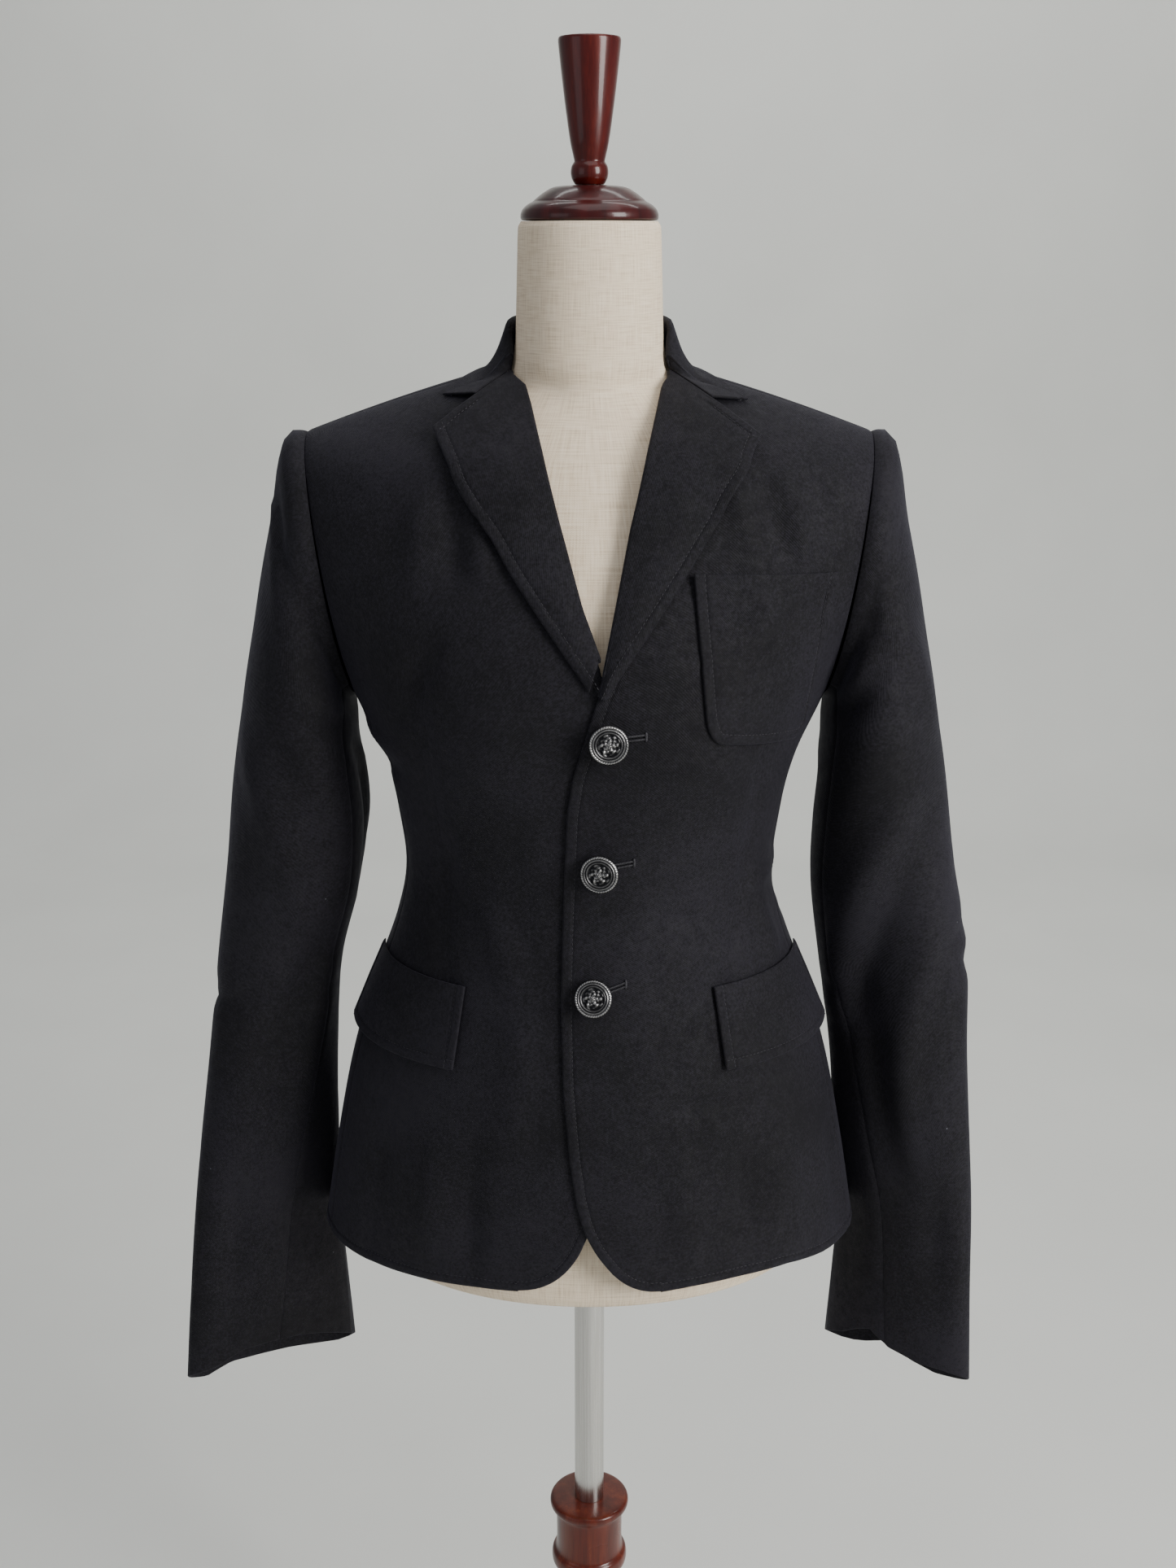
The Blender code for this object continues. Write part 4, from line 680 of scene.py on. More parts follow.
def front_lifted(side, x, z, lift):
    """A point over the front, seen from the front at x and z and raised off its surface."""
    across, row = front_place(x, z)
    surface = front_surface(side)
    return surface(across, row) + surface_normal(surface, across, row) * np.asarray(lift)[..., None]


# Collar, from the centre back to its tip: the neck seam, the fold and, in plan, the outer edge of the leaf.
# The tip takes its edge from the lapel of its side. Places beyond the tip run on to the gorge.
Station = namedtuple("Station", "name seam fold edge")
COLLAR = (
    Station("centre back", (0.0000, 0.0507, 1.3165), (0.0000, 0.0517, 1.3570), (0.0000, 0.0665)),
    Station("back", (0.0285, 0.0420, 1.3185), (0.0280, 0.0440, 1.3560), (0.0400, 0.0560)),
    Station("side back", (0.0468, 0.0235, 1.3215), (0.0460, 0.0240, 1.3545), (0.0640, 0.0310)),
    Station("neck side", (0.0540, 0.0000, 1.3245), (0.0525, 0.0000, 1.3520), (0.0725, 0.0070)),
    Station("front", (0.0528, -0.0105, 1.3250), (0.0515, -0.0090, 1.3400), (0.0880, -0.0110)),
    Station("tip", (0.0515, -0.0160, 1.3245), (0.0512, -0.0152, 1.3320), (0.1000, -0.0240)),
)
COLLAR_PLACES = (0.0, 0.5, 1.0, 1.5, 2.0, 2.4, 2.8, 3.2, 3.6, 4.0, 4.5, 4.85, 4.96, 5.0, 5.04, 5.15,
                 5.5, 6.0)
FOLD_SPREAD = 0.0014
LEAF_SHARES = (0.3, 0.6, 1.0)
LEAF_FALL = 2.3
LEAF_CLEAR = WALL * 1.5 + LAY


def leaf_point(side, x, y, z):
    """A point of the collar's leaf, raised where it would sink into the body."""
    across, row = top_place(x, y)
    surface = front_surface(side)
    seat = np.where(row < SHOULDER, surface(across, row)[..., 2], body_point(across, row)[..., 2])
    normal = surface_normal(body_point, across, row)
    return np.array([x, y, max(z, float(seat + LEAF_CLEAR / normal[2]))])


def collar_line(side, place):
    """Points across the collar at a place up to its tip: up the stand, over the fold and down the leaf."""
    shape = LAPELS[side]
    tip = (shape.collar_tip_x, shape.collar_tip_y)
    edges = [tip if station.name == "tip" else station.edge for station in COLLAR]
    table = [[*station.seam, *station.fold, *edge] for station, edge in zip(COLLAR, edges)]
    values = smooth_rows(table, place)
    seam = values[0:3]
    fold = values[3:6]
    edge_x, edge_y = values[6:8]
    away = np.array([edge_x - fold[0], edge_y - fold[1], 0.0])
    away /= np.linalg.norm(away)
    down = np.array([0.0, 0.0, FOLD_SPREAD])
    inner_fold = fold - away * FOLD_SPREAD - down
    outer_fold = fold + away * FOLD_SPREAD - down
    foot = leaf_point(side, edge_x, edge_y, 0.0)[2]
    points = [seam, seam + (inner_fold - seam) * 0.5, inner_fold, fold, outer_fold]
    for share in LEAF_SHARES:
        x = outer_fold[0] + (edge_x - outer_fold[0]) * share
        y = outer_fold[1] + (edge_y - outer_fold[1]) * share
        z = foot + (outer_fold[2] - foot) * (1 - share) ** LEAF_FALL
        points.append(leaf_point(side, x, y, z))
    return np.array(points)


# Patch pocket, seen from the front, and the hip flaps
POCKET_TOP_FRONT = Corner(0.0635, 1.2037)
POCKET_TOP_BACK = Corner(0.1565, 1.1998)
POCKET_FOOT_FRONT = Corner(0.0735, 1.1000)
POCKET_FOOT_BACK = Corner(0.1400, 1.0865)
POCKET_CORNER = 0.15
POCKET_CORNER_IN = 0.13
POCKET_GAPE = 0.0018
GAPE_FROM = 0.75
PATCH_STEP = 0.004
SKIRT_ROUNDS = 8
FLAP_TOP_Z = 0.920
FLAP_BOTTOM_Z = 0.862
FLAP_FRONT_TOP = 0.082
FLAP_FRONT_BOTTOM = 0.0905
FLAP_BACK_ANGLE = 88.0
FLAP_STAND = 0.0042
FLAP_CLEAR = 0.0004
FLAP_CURL = 1.5
FLAP_FRONT_STAND = 0.35


def skirt_row(z):
    """The row of a given side height below the bust."""
    heights = [row.side_z for row in LOW_ROWS]
    guess = np.interp(z, heights, range(len(heights)))
    for _ in range(SKIRT_ROUNDS):
        guess = guess - (low_values(guess)[0] - z) / ROW_HEIGHT
    return guess


# Buttons: where they are sewn, and how far each nods and swings in degrees
BUTTON_Z = (1.1037, 1.0143, 0.9241)
BUTTON_X = (0.0119, 0.0066, 0.0028)
BUTTON_TURN = ((4.0, 2.0), (10.0, -12.0), (12.0, -12.0))
SHANK_FOOT = 0.0052

# Dress form: level rings, with the depths to the front and back and a squareness (2 is an ellipse)
FormRing = namedtuple("FormRing", "z half_width front back square")
FORM = (
    FormRing(0.6790, 0.1500, 0.0980, 0.0960, 2.0),
    FormRing(0.6820, 0.1590, 0.1060, 0.1040, 2.0),
    FormRing(0.6900, 0.1630, 0.1095, 0.1075, 2.0),
    FormRing(0.7600, 0.1650, 0.1120, 0.1100, 2.0),
    FormRing(0.8300, 0.1600, 0.1100, 0.1050, 2.0),
    FormRing(0.8890, 0.1440, 0.1050, 0.0940, 2.0),
    FormRing(0.9430, 0.1240, 0.0990, 0.0800, 2.0),
    FormRing(0.9840, 0.1180, 0.0970, 0.0740, 2.0),
    FormRing(1.0300, 0.1250, 0.1040, 0.0810, 2.0),
    FormRing(1.0740, 0.1370, 0.1150, 0.0930, 2.1),
    FormRing(1.1200, 0.1520, 0.1190, 0.1030, 2.2),
    FormRing(1.1700, 0.1590, 0.1140, 0.1050, 2.3),
    FormRing(1.2200, 0.1640, 0.0985, 0.0950, 2.2),
    FormRing(1.2600, 0.1660, 0.0820, 0.0820, 2.0),
    FormRing(1.2780, 0.1650, 0.0680, 0.0700, 1.75),
    FormRing(1.2860, 0.1620, 0.0615, 0.0650, 1.60),
    FormRing(1.2915, 0.1460, 0.0575, 0.0600, 1.55),
    FormRing(1.2970, 0.1310, 0.0532, 0.0560, 1.50),
    FormRing(1.3030, 0.1120, 0.0494, 0.0512, 1.32),
    FormRing(1.3085, 0.0835, 0.0487, 0.0494, 1.25),
    FormRing(1.3140, 0.0625, 0.0483, 0.0484, 1.30),
    FormRing(1.3190, 0.0527, 0.0481, 0.0481, 1.60),
    FormRing(1.3240, 0.0510, 0.0482, 0.0480, 1.90),
    FormRing(1.3380, 0.0484, 0.0479, 0.0479, 2.0),
    FormRing(1.3520, 0.0480, 0.0478, 0.0478, 2.0),
    FormRing(1.4000, 0.0465, 0.0465, 0.0465, 2.0),
    FormRing(1.4110, 0.0460, 0.0460, 0.0460, 2.0),
    FormRing(1.4140, 0.0440, 0.0440, 0.0440, 2.0),
)

# Neck cap, finial, pole and stand
FORM_TOP = FORM[-1].z
FORM_FOOT = FORM[0].z
CAP_HEIGHT = 0.0215
CAP_PROFILE = (
    (0.0, 0.0215), (0.0170, 0.0215), (0.0240, 0.0205), (0.0300, 0.0170), (0.0352, 0.0130),
    (0.0362, 0.0118), (0.0400, 0.0100), (0.0432, 0.0070), (0.0444, 0.0040), (0.0444, 0.0012),
    (0.0430, 0.0), (0.0, 0.0),
)
FINIAL_PROFILE = (
    (0.0, 0.0880), (0.0185, 0.0880), (0.0199, 0.0868), (0.0196, 0.0820), (0.0165, 0.0550),
    (0.0125, 0.0260), (0.0098, 0.0150), (0.0098, 0.0140), (0.0116, 0.0115), (0.0122, 0.0075),
    (0.0114, 0.0035), (0.0096, 0.0008), (0.0090, 0.0), (0.0, 0.0),
)
POLE_RADIUS = 0.0115
DISC_TOP = 0.4400
STAND_PROFILE = (
    (0.0, 0.4400), (0.0285, 0.4400), (0.0308, 0.4385), (0.0314, 0.4360), (0.0308, 0.4330),
    (0.0275, 0.4310), (0.0262, 0.4270), (0.0260, 0.3960), (0.0268, 0.3920), (0.0295, 0.3900),
    (0.0302, 0.3840), (0.0292, 0.3790), (0.0230, 0.3740), (0.0205, 0.3600), (0.0215, 0.3200),
    (0.0245, 0.2800), (0.0250, 0.2550), (0.0220, 0.2350), (0.0225, 0.2300), (0.0290, 0.2240),
    (0.0300, 0.2170), (0.0290, 0.2100), (0.0270, 0.2060), (0.0270, 0.1000), (0.0240, 0.0920),
    (0.0200, 0.0800), (0.0120, 0.0680), (0.0, 0.0650),
)


def shifted(profile, z):
    """A profile moved up to a height."""
    return [(radius, height + z) for radius, height in profile]


# Fine cloth. A surface is a function of two grids, across and along, and along is the same over a row.
EDGE_STEPS = (0.0, 0.0004, 0.0009, 0.0016, 0.0028, 0.0042, 0.0053, 0.0061, 0.0068, 0.0075, 0.0083,
              0.0098, 0.0125)
SEAM_STEPS = (0.0, 0.0004, 0.0009, 0.0017, 0.0030, 0.0055)
DART_STEPS = (-0.010, -0.0045, -0.0022, -0.0012, -0.0006, 0.0, 0.0006, 0.0012, 0.0022, 0.0045, 0.010)
STITCH_INSET = 0.0068
EDGE_ROUND = 0.0009
RIM_SHARE = 0.30
SEAM_RIM = 0.80
PUFF = 0.00034
PUFF_RISE = 0.0015
PUFF_END = 0.0052
PUFF_FADE = 0.0016
FAR = 1.0
GROOVE = 0.00050
GROOVE_WIDTH = 0.0009
SEAM_DIP = 0.00045
SEAM_WIDTH = 0.0019
NOTCH_CLEAR = 0.02
NOTCH_FADE = 0.06
LINE_TAPER = 0.06
DENSE = 81
ROW_DENSE = 241
STEP_SHARE = 0.32
DART_ROOM = 0.014


def lengths_along(points, axis):
    """Distances from the first point along an axis of a grid of points."""
    steps = np.linalg.norm(np.diff(points, axis=axis), axis=-1)
    start = np.zeros_like(np.take(steps, [0], axis=axis))
    return np.concatenate([start, np.cumsum(steps, axis=axis)], axis=axis)


def spread(length, start, end, step, middle=None):
    """Distances over a length: close together at both ends and round a middle line, even between."""
    length = np.atleast_1d(length)[:, None]
    start, end = (np.array(steps)[None, :] * np.minimum(1.0, STEP_SHARE * length / steps[-1])
                  for steps in (start, end))
    end = (length - end)[:, ::-1]
    groups = [start]
    if middle is not None:
        room = np.minimum(middle[:, None] - start[:, -1:], end[:, :1] - middle[:, None])
        around = middle[:, None] + np.array(DART_STEPS)[None, :] * np.clip(room / DART_ROOM, 0.05, 1.0)
        groups.append(around)
    groups.append(end)
    filled = [start]
    for before, after in zip(groups, groups[1:]):
        gap = after[:, :1] - before[:, -1:]
        count = max(int(np.median(gap) / step), 2)
        share = np.linspace(0.0, 1.0, count + 1)[None, 1:-1]
        filled += [before[:, -1:] + gap * share, after]
    return np.concatenate(filled, axis=1)


def rows_at(surface, across, first, last, start, end, step):
    """Row places with the given spacing, measured along one line of a surface."""
    dense = np.linspace(first, last, ROW_DENSE)[:, None]
    length = lengths_along(surface(np.full_like(dense, across), dense), 0)[:, 0]
    want = spread(length[-1], start, end, step)[0]
    return np.interp(want, length, dense[:, 0])


def laid_out(surface, along, first, last, start, end, step, line=None):
    """Points of a surface in rows, spaced by distance; line is where a sewn line crosses each row."""
    first = np.broadcast_to(first, along.shape)
    last = np.broadcast_to(last, along.shape)
    dense = first[:, None] + (last - first)[:, None] * np.linspace(0.0, 1.0, DENSE)
    length = lengths_along(surface(dense, np.repeat(along[:, None], DENSE, axis=1)), 1)
    middle = None
    if line is not None:
        middle = np.array([np.interp(place, line_dense, line_length)
                           for place, line_dense, line_length in zip(line, dense, length)])
    want = spread(length[:, -1], start, end, step, middle)
    across = np.array([np.interp(*row) for row in zip(want, length, dense)])
    return surface(across, np.repeat(along[:, None], across.shape[1], axis=1))


def grid_normals(points):
    """Unit normals of a grid of points."""
    normal = np.cross(np.gradient(points, axis=1), np.gradient(points, axis=0))
    return normal / np.linalg.norm(normal, axis=-1, keepdims=True)


def line_distance(points, line):
    """Distance of points to a line of points, and how far along it they are as a share."""
    near, share = nearest_on_line(points, line)
    return np.sqrt(near), share


def border(grid, where):
    """The points along one border of a grid and the points a little further in."""
    lines = {"first": (grid[:, 0], grid[:, 3]), "last": (grid[:, -1], grid[:, -4]),
             "low": (grid[0], grid[3]), "high": (grid[-1], grid[-4])}
    return lines[where]


def closed_mesh(name, outer, inner, side, material):
    """A closed wall between an outer and an inner grid of points, with lengths in metres as its UVs."""
    rows, columns = outer.shape[:2]
    count = rows * columns
    points = np.concatenate([outer.reshape(-1, 3), inner.reshape(-1, 3)])
    index = np.arange(count).reshape(rows, columns)
    quads = np.stack([index[:-1, :-1], index[:-1, 1:], index[1:, 1:], index[1:, :-1]], axis=-1)
    quads = quads.reshape(-1, 4)
    loop = np.concatenate([index[0], index[1:, -1], index[-1, -2::-1], index[-2:0:-1, 0]])
    following = np.roll(loop, -1)
    rim = np.stack([following, loop, loop + count, following + count], axis=-1)
    mesh = new_mesh(name, points, np.concatenate([quads, quads[:, ::-1] + count, rim]).tolist(), side)
    uv = np.stack([lengths_along(outer, 1), lengths_along(outer, 0)], axis=-1).reshape(-1, 2)
    corner = np.zeros(len(mesh.loops), int)
    mesh.loops.foreach_get("vertex_index", corner)
    layer = mesh.uv_layers.new(name="weave")
    layer.data.foreach_set("uv", uv[corner % count].ravel())
    return finished(name, mesh, material)


def finished(name, mesh, material):
    """Link a mesh as an object that rides on the one body."""
    mesh.materials.append(material)
    mesh.shade_smooth()
    thing = bpy.data.objects.new(name, mesh)
    bpy.context.scene.collection.objects.link(thing)
    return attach(thing, "root")


def new_mesh(name, points, faces, side=1):
    """A mesh from points round the pole's axis, mirrored for the wearer's right side."""
    if side < 0:
        faces = [face[::-1] for face in faces]
    mesh = bpy.data.meshes.new(name)
    mesh.from_pydata((np.array(points) * np.array([side, 1.0, 1.0]) + SHIFT).tolist(), [], faces)
    return mesh


def ring_faces(rings):
    """Faces of a closed solid through rings of points, which run from its top to its foot."""
    index = np.arange(len(rings) * len(rings[0])).reshape(len(rings), -1)
    following = np.roll(index, -1, axis=1)
    walls = np.stack([index[:-1], index[1:], following[1:], following[:-1]], axis=-1).reshape(-1, 4)
    return [*walls.tolist(), index[0].tolist(), index[-1][::-1].tolist()]


def even_turns(count):
    """Angles in radians, evenly round a circle."""
    return np.linspace(0.0, 2 * math.pi, count, endpoint=False)


def level_ring(radius, z, turn):
    """A level ring of points."""
    return np.stack([radius * np.cos(turn), radius * np.sin(turn), np.full_like(turn, z)], axis=-1)


def followed(path, up, places):
    """Points at distances along a path, with the directions along, over and aside there."""
    length = lengths_along(path, 0)
    middle, over = (np.stack([np.interp(places, length, values[:, k]) for k in range(3)], axis=-1)
                    for values in (path, up))
    along = np.gradient(middle, axis=0)
    along /= np.linalg.norm(along, axis=1, keepdims=True)
    return middle, along, over, np.cross(over, along)


def add_tube(points, faces, rings, sides):
    """Adds a closed tube to a list of points and faces; a ring is a centre, two directions and a radius."""
    first = len(points)
    for centre, aside, out, radius in rings:
        for k in range(sides):
            turn = 2 * math.pi * k / sides
            points.append(centre + (aside * math.cos(turn) + out * math.sin(turn)) * radius)
    for ring in range(len(rings) - 1):
        for k in range(sides):
            a = first + ring * sides + k
            b = first + ring * sides + (k + 1) % sides
            faces.append((a, b, b + sides, a + sides))
    last = first + (len(rings) - 1) * sides
    faces.append(tuple(range(first + sides - 1, first - 1, -1)))
    faces.append(tuple(range(last, last + sides)))


def cloth_relief(grid, stitched, sewn, lines, notch):
    """How far the face of the cloth stands up or dips: edges, seams and darts."""
    relief = np.zeros(grid.shape[:2])
    rim = np.ones(grid.shape[:2])
    for where in ("first", "last", "low", "high"):
        distance, _ = line_distance(grid, border(grid, where)[0])
        least = SEAM_RIM if where in sewn else RIM_SHARE
        rounded = np.sqrt(1 - (1 - np.clip(distance / EDGE_ROUND, 0.0, 1.0)) ** 2)
        rim = np.minimum(rim, least + (1 - least) * rounded)
        if where in sewn:
            relief -= SEAM_DIP * np.exp(-(distance / SEAM_WIDTH) ** 2)
    if stitched:
        near = np.full(grid.shape[:2], FAR)
        for where in stitched:
            line = border(grid, where)[0]
            distance, share = line_distance(grid, line)
            if where == "high" and notch:
                length = lengths_along(line, 0)
                share = np.interp(share, np.linspace(0.0, 1.0, len(line)), length / length[-1])
                distance = distance + NOTCH_CLEAR * (1 - smoothstep((share - notch) / NOTCH_FADE))
            near = np.minimum(near, distance)
        puff = smoothstep(near / PUFF_RISE) * (1 - smoothstep((near - PUFF_END) / PUFF_FADE))
        relief += PUFF * puff - GROOVE * np.exp(-((near - STITCH_INSET) / GROOVE_WIDTH) ** 2)
    for line, depth, width in lines:
        distance, share = line_distance(grid, line)
        taper = smoothstep(share / LINE_TAPER) * smoothstep((1 - share) / LINE_TAPER)
        relief -= depth * taper * np.exp(-(distance / width) ** 2)
    return relief, rim


SEWN_PITCH = 0.0031
STITCH_LENGTH = 0.0023
STITCH_HALF = 0.00026
STITCH_RINGS = ((-1.0, 0.15), (-0.55, 0.85), (0.0, 1.0), (0.55, 0.85), (1.0, 0.15))
STITCH_SIDES = 5


def stitch_path(outer, normals, where, notch):
    """The line of a row of stitches, a little in from one border of a piece, on its face."""
    edge, inside = border(outer, where)
    up = border(normals, where)[0]
    along = np.gradient(edge, axis=0)
    inward = np.cross(along, up)
    inward /= np.linalg.norm(inward, axis=1, keepdims=True)
    inward *= np.sign(((inside - edge) * inward).sum(-1))[:, None]
    path = edge + inward * STITCH_INSET
    flat = outer.reshape(-1, 3)
    flat_normals = normals.reshape(-1, 3)
    for k, point in enumerate(path):
        near = ((flat - point) ** 2).sum(-1).argmin()
        path[k] = point - flat_normals[near] * ((point - flat[near]) @ flat_normals[near])
        up[k] = flat_normals[near]
    if where == "high" and notch:
        length = lengths_along(path, 0)
        free = length > length[-1] * (notch + NOTCH_FADE)
        path, up = path[free], up[free]
    return path, up


def stitches(name, side, runs, material):
    """Small sunk stitches along paths on a piece."""
    points = []
    faces = []
    for path, up in runs:
        length = lengths_along(path, 0)[-1]
        count = int(length / SEWN_PITCH)
        if count < 2:
            continue
        places = (np.arange(count) + 0.5) * length / count
        for centre, forward, out, lateral in zip(*followed(path, up, places)):
            rings = [(centre + forward * reach * STITCH_LENGTH / 2, lateral, out, size * STITCH_HALF)
                     for reach, size in STITCH_RINGS]
            add_tube(points, faces, rings, STITCH_SIDES)
    thing = finished(name, new_mesh(name, points, faces, side), material)
    return thing


def cloth_piece(name, grid, side, material, thread, stitched=(), sewn=(), lines=(), lift=0.0,
                notch=0.0):
    """One cut piece as a closed wall with its seams and stitches, standing for its CAD node."""
    normals = grid_normals(grid)
    relief, rim = cloth_relief(grid, stitched, sewn, lines, notch)
    half = WALL / 2 * rim
    middle = grid + normals * (WALL / 2 + lift)
    outer = middle + normals * (half + relief)[..., None]
    inner = middle - normals * half[..., None]
    thing = closed_mesh(name + "_cloth", outer, inner, side, material)
    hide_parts(name)
    if stitched:
        runs = [stitch_path(outer, normals, where, notch) for where in stitched]
        stitches(name + "_stitches", side, runs, thread)
    return thing


# Materials
def fill(tree, made, inputs):
    """Link or set the inputs of a node."""
    for key, value in inputs.items():
        if isinstance(value, bpy.types.NodeSocket):
            tree.links.new(value, made.inputs[key])
        else:
            made.inputs[key].default_value = value


def add_node(tree, kind, inputs, **settings):
    """A shader node with its settings, and its inputs linked or set."""
    made = tree.nodes.new(kind)
    for key, value in settings.items():
        setattr(made, key, value)
    fill(tree, made, inputs)
    return made


def blank_material(name):
    """A material with its tree, its Principled shader and the places on the object."""
    material = bpy.data.materials.new(name)
    material.use_nodes = True
    tree = material.node_tree
    place = add_node(tree, "ShaderNodeTexCoord", {}).outputs["Object"]
    return material, tree, tree.nodes["Principled BSDF"], place


def ramp(tree, value, stops):
    """A colour ramp over a value; stops are places and colours."""
    made = add_node(tree, "ShaderNodeValToRGB", {"Fac": value})
    elements = made.color_ramp.elements
    while len(elements) < len(stops):
        elements.new(0.5)
    for element, (place, colour) in zip(elements, stops):
        element.position = place
        element.color = (*colour, 1.0)
    return made.outputs["Color"]


def noise(tree, vector, scale, detail=3.0, roughness=0.5):
    """A noise value between 0 and 1."""
    return add_node(tree, "ShaderNodeTexNoise", {"Vector": vector, "Scale": scale, "Detail": detail,
                                                 "Roughness": roughness}).outputs["Fac"]


def maths(tree, operation, first, second=0.5):
    """One sum of two values."""
    return add_node(tree, "ShaderNodeMath", {0: first, 1: second}, operation=operation).outputs[0]


def times(tree, value, factor):
    """A value times a factor."""
    return maths(tree, "MULTIPLY", value, factor)


def plus(tree, first, second):
    """Two values added."""
    return maths(tree, "ADD", first, second)


def ranged(tree, value, low, high, start=0.0, end=1.0):
    """A value that runs from start to end, moved to run from low to high."""
    return add_node(tree, "ShaderNodeMapRange", {"Value": value, "From Min": start, "From Max": end,
                                                 "To Min": low, "To Max": high}).outputs["Result"]


def bump(tree, height, strength, distance, **under):
    """Bump from a height, on top of the normal under it if one is given."""
    return add_node(tree, "ShaderNodeBump", {"Height": height, "Strength": strength, "Distance": distance,
                                             **under}).outputs["Normal"]


def mapped(tree, vector, **settings):
    """Places moved, turned or scaled."""
    return add_node(tree, "ShaderNodeMapping", {"Vector": vector, **settings}).outputs["Vector"]


def mix_colour(tree, share, first, second):
    """Two colours mixed; the colour sockets have the numbers 6 and 7."""
    return add_node(tree, "ShaderNodeMix", {0: share, 6: first, 7: second}, data_type="RGBA").outputs[2]


TWILL_SCALE = 430.0
TWILL_DARK = (0.0025, 0.0022, 0.0035)
TWILL_LIGHT = (0.0116, 0.0104, 0.0152)
MOTTLE_SCALE = 9.0
GRAIN_SCALE = 520.0
YARN_SCALE = 150.0
LINT_SCALE = 74.0
LINT_SIZE = 0.035
LINT_RARE = 0.93
LINT_COLOUR = (0.22, 0.23, 0.26, 1.0)


def twill_material(name, turn=0.0):
    """Black cotton twill: a fine diagonal rib, a faint mottle, a soft sheen and sparse lint."""
    material, tree, shader, place = blank_material(name)
    uv = add_node(tree, "ShaderNodeUVMap", {}, uv_map="weave").outputs["UV"]
    rib = add_node(tree, "ShaderNodeTexWave",
                   {"Vector": mapped(tree, uv, Rotation=(0.0, 0.0, turn)), "Scale": TWILL_SCALE,
                    "Distortion": 1.2, "Detail": 2.0, "Detail Scale": 1.5},
                   wave_type="BANDS", bands_direction="DIAGONAL").outputs["Fac"]
    patch = noise(tree, place, MOTTLE_SCALE, 4.0, 0.55)
    grain = noise(tree, place, GRAIN_SCALE, 2.0, 0.8)
    thread = noise(tree, place, YARN_SCALE, 3.0, 0.6)
    tone = plus(tree, times(tree, patch, 0.45), times(tree, grain, 0.55))
    cloth = ramp(tree, tone, ((0.42, TWILL_DARK), (0.58, TWILL_LIGHT)))
    cells = add_node(tree, "ShaderNodeTexVoronoi", {"Vector": place, "Scale": LINT_SCALE})
    rare = add_node(tree, "ShaderNodeSeparateColor", {"Color": cells.outputs["Color"]}).outputs[0]
    lint = times(tree, maths(tree, "LESS_THAN", cells.outputs["Distance"], LINT_SIZE),
                 maths(tree, "GREATER_THAN", rare, LINT_RARE))
    height = plus(tree, times(tree, rib, 0.6), times(tree, grain, 0.5))
    fill(tree, shader, {
        "Base Color": mix_colour(tree, times(tree, lint, 0.55), cloth, LINT_COLOUR),
        "Roughness": ranged(tree, thread, 0.70, 0.86, 0.3, 0.7),
        "Specular IOR Level": 0.24,
        "Sheen Weight": 0.075,
        "Sheen Roughness": 0.42,
        "Sheen Tint": (0.58, 0.56, 0.78, 1.0),
        "Normal": bump(tree, thread, 0.25, 0.0006, Normal=bump(tree, height, 0.6, 0.00028)),
    })
    return material


def thread_material():
    """Black sewing thread, a little glossier than the cloth, with its twist."""
    material, tree, shader, place = blank_material("Sewing thread")
    twist = noise(tree, place, 2400.0, 2.0)
    fill(tree, shader, {
        "Base Color": ramp(tree, twist, ((0.3, (0.006, 0.006, 0.008)), (0.7, (0.028, 0.026, 0.034)))),
        "Roughness": 0.55,
        "Normal": bump(tree, twist, 0.4, 0.0001),
    })
    return material


# Linen threads run round the form and up it; places round it are lengths on a neck of this radius
THREAD_PITCH = 5200.0
ROUND_FORM = 0.06
WOBBLE_SCALE = 35.0
WOBBLE = 0.0016
SLUB_LONG = 12.0
WEFT_SLUB = 330.0
WARP_SLUB = 360.0
LINEN_STOPS = ((0.32, (0.60, 0.475, 0.335)), (0.50, (0.80, 0.665, 0.495)), (0.68, (0.90, 0.785, 0.615)))


def linen_material():
    """Natural linen on the form: a plain weave of uneven threads, with slubs along both sets of threads."""
    material, tree, shader, place = blank_material("Natural linen")
    centred = add_node(tree, "ShaderNodeVectorMath", {0: place, 1: tuple(-SHIFT)}, operation="ADD")
    x, y, z = add_node(tree, "ShaderNodeSeparateXYZ", {"Vector": centred.outputs[0]}).outputs
    around = times(tree, maths(tree, "ARCTAN2", x, times(tree, y, -1.0)), ROUND_FORM)
    wobble = times(tree, noise(tree, place, WOBBLE_SCALE), WOBBLE)
    warp, weft = (maths(tree, "SINE", times(tree, plus(tree, way, wobble), THREAD_PITCH), 0.0)
                  for way in (around, z))
    slubs = []
    for wide, high in ((SLUB_LONG, WEFT_SLUB), (WARP_SLUB, SLUB_LONG)):
        stretched = add_node(tree, "ShaderNodeCombineXYZ", {"X": times(tree, around, wide),
                                                            "Y": times(tree, z, high)})
        slubs.append(noise(tree, stretched.outputs[0], 4.0, 2.0))
    threads = times(tree, warp, weft)
    tone = plus(tree, times(tree, slubs[0], 0.5), times(tree, slubs[1], 0.5))
    height = plus(tree, times(tree, threads, 0.35), times(tree, slubs[0], 0.8))
    fill(tree, shader, {
        "Base Color": ramp(tree, plus(tree, tone, times(tree, threads, 0.03)), LINEN_STOPS),
        "Roughness": 0.88,
        "Specular IOR Level": 0.25,
        "Normal": bump(tree, height, 0.22, 0.0003),
    })
    return material


